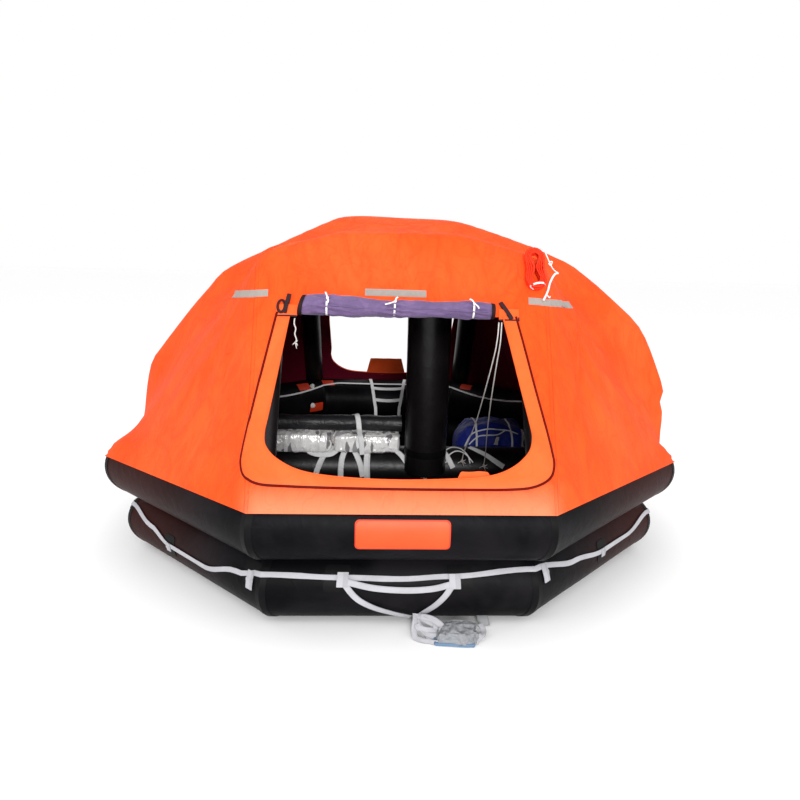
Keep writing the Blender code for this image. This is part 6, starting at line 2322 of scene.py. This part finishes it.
@dataclass
class Fittings(Assembly):
    """The hull's signs, pads, valves, coloured patches and the gas cylinder."""

    palette: Palette
    lines: Lines
    cylinder_radius: float = 0.075
    cylinder_length: float = 0.64

    def build(self) -> None:
        """Make the fittings."""
        for end, label in ((End.FRONT, "front"), (End.REAR, "rear")):
            self.sign(end, label)
        self.valves()
        self.cylinder()
        self.markers()
        for label in ("left", "right"):
            repaint(f"tow_pad_{label}", self.palette.patch)

    def sign(self, end: End, label: str) -> None:
        """A blank sign patch over a doorway's foot, with a raised border."""
        side = 90 * end
        for name, width, height, lift, rise, finish in (
                ("backing", 0.41, 0.136, 0.0006, 0.0012, self.palette.marker),
                ("face", 0.398, 0.124, 0.0019, 0.0012, self.palette.sign)):
            flat = flat_patch(width, height, 0.02, 4, 14)

            def place(x: float, y: float) -> Station:
                turn = 0.5 + math.degrees(y / HULL.sizes.skin_radius)
                return HULL.on_side(Tube.UPPER, side, x, turn, lift)

            wrap(flat, place, rise)
            nodes = (f"{label}_sign_patch",) if name == "face" else ()
            finish_piece(f"{label}_sign_{name}", flat, finish, nodes=nodes)

    def markers(self) -> None:
        """Blank coloured patches at the valves and anchors inside the cabin."""
        shapes = [self.lines.glued(tube, compass, turn, width, height, 0.0008, 0.0014, 0.008)
                  for tube, compass, turn, width, height in (
                      (Tube.UPPER, 120.5, 124, 0.12, 0.08), (Tube.UPPER, 110.5, 118, 0.1, 0.07),
                      (Tube.UPPER, 116.5, 192, 0.14, 0.075), (Tube.UPPER, 62.0, 118, 0.11, 0.07),
                      (Tube.UPPER, -62.0, 118, 0.11, 0.07), (Tube.UPPER, -118.0, 122, 0.12, 0.08))]
        finish_piece("cabin_marker_patches", join_shapes(shapes), self.palette.marker)
        plugs = []
        for compass, turn in ((117.2, 128), (118.4, 184)):
            spot, out = HULL.at(Tube.UPPER, compass, turn, 0.0)
            stem = [spot + out * (0.022 * k / 6) for k in range(7)]
            plugs.append(Sweep(path_frames(stem, [1.0, 1.0, 0.96, 0.7, 0.66, 0.72, 0.6])).tube(0.021, 28))
        finish_piece("cabin_valve_plugs", join_shapes(plugs), self.palette.plastic, sharp=30)

    def side_frame(self, side: int, tube: Tube, turn: float, along: float, lift: float) -> Matrix:
        """A frame on a hull side: X along it, Z out of its face; side 0 is the front."""
        point, out = HULL.on_side(tube, -90 + 45 * side, along, turn, lift)
        heading = math.radians(-90 + 45 * side)
        across = Vector((-math.sin(heading), math.cos(heading), 0))
        return Matrix.Translation(point) @ Matrix((across, out.cross(across), out)).transposed().to_4x4()

    def valves(self) -> None:
        """The two topping-up valves: flange and ribbed cap."""
        facet = math.degrees(HULL.sizes.facet)
        for name, tube, count, along in (("upper_valve", Tube.UPPER, -5, 0.1), ("lower_valve", Tube.LOWER, -3, 0.22)):
            frame = self.side_frame(5, tube, 90 - facet * count, along, -0.001)
            cap = bmesh.new()
            made = bmesh.ops.create_cone(cap, cap_ends=True, segments=28, radius1=0.0235, radius2=0.0235, depth=0.005)
            bmesh.ops.translate(cap, verts=made["verts"], vec=(0, 0, 0.003))
            top = [f for f in cap.faces if f.normal.z > 0.9]
            bmesh.ops.inset_region(cap, faces=top, thickness=0.005)
            grown = bmesh.ops.extrude_face_region(cap, geom=top)
            bmesh.ops.delete(cap, geom=top, context="FACES_ONLY")
            bmesh.ops.translate(cap, verts=[g for g in grown["geom"] if isinstance(g, bmesh.types.BMVert)],
                                vec=(0, 0, 0.013))
            ribs = [f for f in cap.faces if abs(f.normal.z) < 0.1 and f.calc_center_median().z > 0.008][::2]
            bmesh.ops.inset_individual(cap, faces=ribs, thickness=0.0006, depth=0.0012)
            top = [f for f in cap.faces if f.normal.z > 0.9 and f.calc_center_median().z > 0.015]
            bmesh.ops.inset_region(cap, faces=top, thickness=0.004, depth=-0.0015)
            bmesh.ops.bevel(cap, geom=[e for e in cap.edges if len(e.link_faces) == 2 and e.calc_face_angle() > 1.2],
                            offset=0.0005, segments=2, affect="EDGES", profile=0.5, material=-1)
            bmesh.ops.transform(cap, matrix=frame, verts=cap.verts)
            finish_piece(name + "_moulding", cap, self.palette.plastic, nodes=(name,))

    def cylinder(self) -> None:
        """The gas cylinder with domed ends, its valve and its straps."""
        turn = 90 - 6 * math.degrees(HULL.sizes.facet)
        frame = self.side_frame(5, Tube.LOWER, turn, 0.0, self.cylinder_radius + 0.0004)
        half = self.cylinder_length / 2
        profile = [(-half, 0.2), (-half + 0.003, 0.45), (-half + 0.012, 0.72), (-half + 0.028, 0.92),
                   (-half + 0.05, 1.0), (-half + 0.2, 1.0), (0.0, 1.0), (half - 0.1, 1.0), (half - 0.07, 0.97),
                   (half - 0.045, 0.86), (half - 0.026, 0.66), (half - 0.012, 0.4), (half, 0.32)]
        frames = path_frames([Vector((x, 0, 0)) for x, _ in profile], [s for _, s in profile])
        shape = Sweep(frames).tube(self.cylinder_radius - 0.0005, 48)
        bmesh.ops.transform(shape, matrix=frame, verts=shape.verts)
        finish_piece("gas_cylinder_shell", shape, self.palette.paint, nodes=("gas_cylinder",), sharp=40)
        profile = [(half + 0.0006, 0.022), (half + 0.01, 0.022), (half + 0.011, 0.016), (half + 0.022, 0.016),
                   (half + 0.023, 0.021), (half + 0.042, 0.021), (half + 0.049, 0.015)]
        frames = path_frames([Vector((x, 0, 0)) for x, _ in profile], [s / 0.022 for _, s in profile])
        shape = Sweep(frames).tube(0.022, 6)
        bmesh.ops.bevel(shape, geom=[e for e in shape.edges if e.calc_face_angle(0.0) > 0.5], offset=0.0008,
                        segments=2, affect="EDGES", profile=0.5, material=-1)
        bmesh.ops.transform(shape, matrix=frame, verts=shape.verts)
        finish_piece("cylinder_valve_body", shape, self.palette.brass, nodes=("cylinder_valve",), sharp=30)
        for label, x in (("left", -0.17), ("right", 0.17)):
            stations = []
            for k in range(37):
                around = math.radians(-150 + 300 * k / 36)
                out = Vector((0, math.sin(around), math.cos(around)))
                stations.append((frame @ (Vector((x, 0, 0)) + out * (self.cylinder_radius + 0.0012)),
                                 frame.to_3x3() @ out))
            shape = Sweep(strap_frames(stations)).strap(0.04, 0.003)
            buckle = flat_patch(0.052, 0.03, 0.004, 2, 4)
            wrap(buckle, lambda px, py: (frame @ Vector((x + px, py, self.cylinder_radius + 0.0045)),
                                         frame.to_3x3() @ Vector((0, 0, 1))), 0.003)
            finish_piece(f"cylinder_strap_{label}_webbing", join_shapes([shape, buckle]), self.palette.cylinder_strap,
                         nodes=(f"cylinder_strap_{label}",))


def repaint(node: str, finish: Finish) -> None:
    """Give a carried-over CAD node a finish."""
    piece = frame["nodes"][node]
    for slot in piece.material_slots:
        slot.material = finish.material()
    LOG.info("%s: repainted", node)


@dataclass
class Studio:
    """The camera, a plain pale floor and soft light."""

    spot: tuple[float, float, float] = (-0.1465, -4.2287, 1.5944)
    yaw: float = 0.0461
    pitch: float = 0.1927
    roll: float = -0.0238
    lens: float = 29.309

    def camera(self) -> None:
        """Place the camera where the photograph was taken from."""
        ahead = Vector((math.sin(self.yaw) * math.cos(self.pitch), math.cos(self.yaw) * math.cos(self.pitch),
                        -math.sin(self.pitch)))
        right = Vector((math.cos(self.yaw), -math.sin(self.yaw), 0))
        down = ahead.cross(right)
        across = right * math.cos(self.roll) + down * math.sin(self.roll)
        below = down * math.cos(self.roll) - right * math.sin(self.roll)
        data = bpy.data.cameras.new("camera")
        data.sensor_width = 36.0
        data.lens = self.lens
        item = bpy.data.objects.new("camera", data)
        turn = Matrix((across, -below, -ahead)).transposed().to_4x4()
        item.matrix_world = Matrix.Translation(self.spot) @ turn
        bpy.context.scene.collection.objects.link(item)
        bpy.context.scene.camera = item

    def build(self) -> None:
        """Make the floor, the world and the lights."""
        bpy.context.scene.view_settings.view_transform = "Standard"
        shape = bmesh.new()
        bmesh.ops.create_grid(shape, x_segments=4, y_segments=4, size=400.0)
        mesh = bpy.data.meshes.new("studio_floor")
        shape.to_mesh(mesh)
        shape.free()
        floor = bpy.data.objects.new("studio_floor", mesh)
        bpy.context.scene.collection.objects.link(floor)
        finish = bpy.data.materials.new("pale_floor")
        finish.use_nodes = True
        shader = finish.node_tree.nodes["Principled BSDF"]
        shader.inputs["Base Color"].default_value = (0.99, 0.99, 0.99, 1.0)
        shader.inputs["Roughness"].default_value = 0.9
        mesh.materials.append(finish)
        world = bpy.data.worlds.new("studio_world")
        world.use_nodes = True
        world.node_tree.nodes["Background"].inputs["Color"].default_value = (1.0, 1.0, 1.0, 1.0)
        world.node_tree.nodes["Background"].inputs["Strength"].default_value = 1.0
        bpy.context.scene.world = world
        lamps = (("key", (-2.6, -4.6, 4.6), 3.2, 45.0), ("fill", (3.6, -3.6, 3.2), 3.0, 12.0),
                 ("rim", (0.0, 4.5, 4.8), 3.5, 40.0), ("front", (0.6, -14.0, 4.6), 3.0, 1350.0))
        for name, spot, size, power in lamps:
            lamp = bpy.data.lights.new(name, "AREA")
            lamp.size = size
            lamp.energy = power
            item = bpy.data.objects.new(name, lamp)
            item.matrix_world = (Matrix.Translation(spot)
                                 @ (Vector((0, 0, 0.8)) - Vector(spot)).to_track_quat("-Z", "Y").to_matrix().to_4x4())
            bpy.context.scene.collection.objects.link(item)


def main() -> None:
    """Build the raft's pieces in order."""
    logging.basicConfig(level=logging.INFO, format="%(name)s: %(message)s")
    palette = Palette()
    studio = Studio()
    studio.camera()
    canopy = Canopy(palette)
    tubes = CabinTubes(palette, canopy)
    canopy.supports = tubes.carriers()
    Cords(palette, canopy).build()
    canopy.build()
    Hull(palette).build()
    tubes.build()
    DoorCurtain(palette, canopy, End.FRONT, Body.FRONT_CURTAIN).build()
    DoorCurtain(palette, canopy, End.REAR, Body.REAR_CURTAIN).build()
    lines = Lines(palette, canopy)
    lines.build()
    Equipment(palette).build()
    Fittings(palette, lines).build()
    studio.build()


if __name__ == "__main__":
    main()
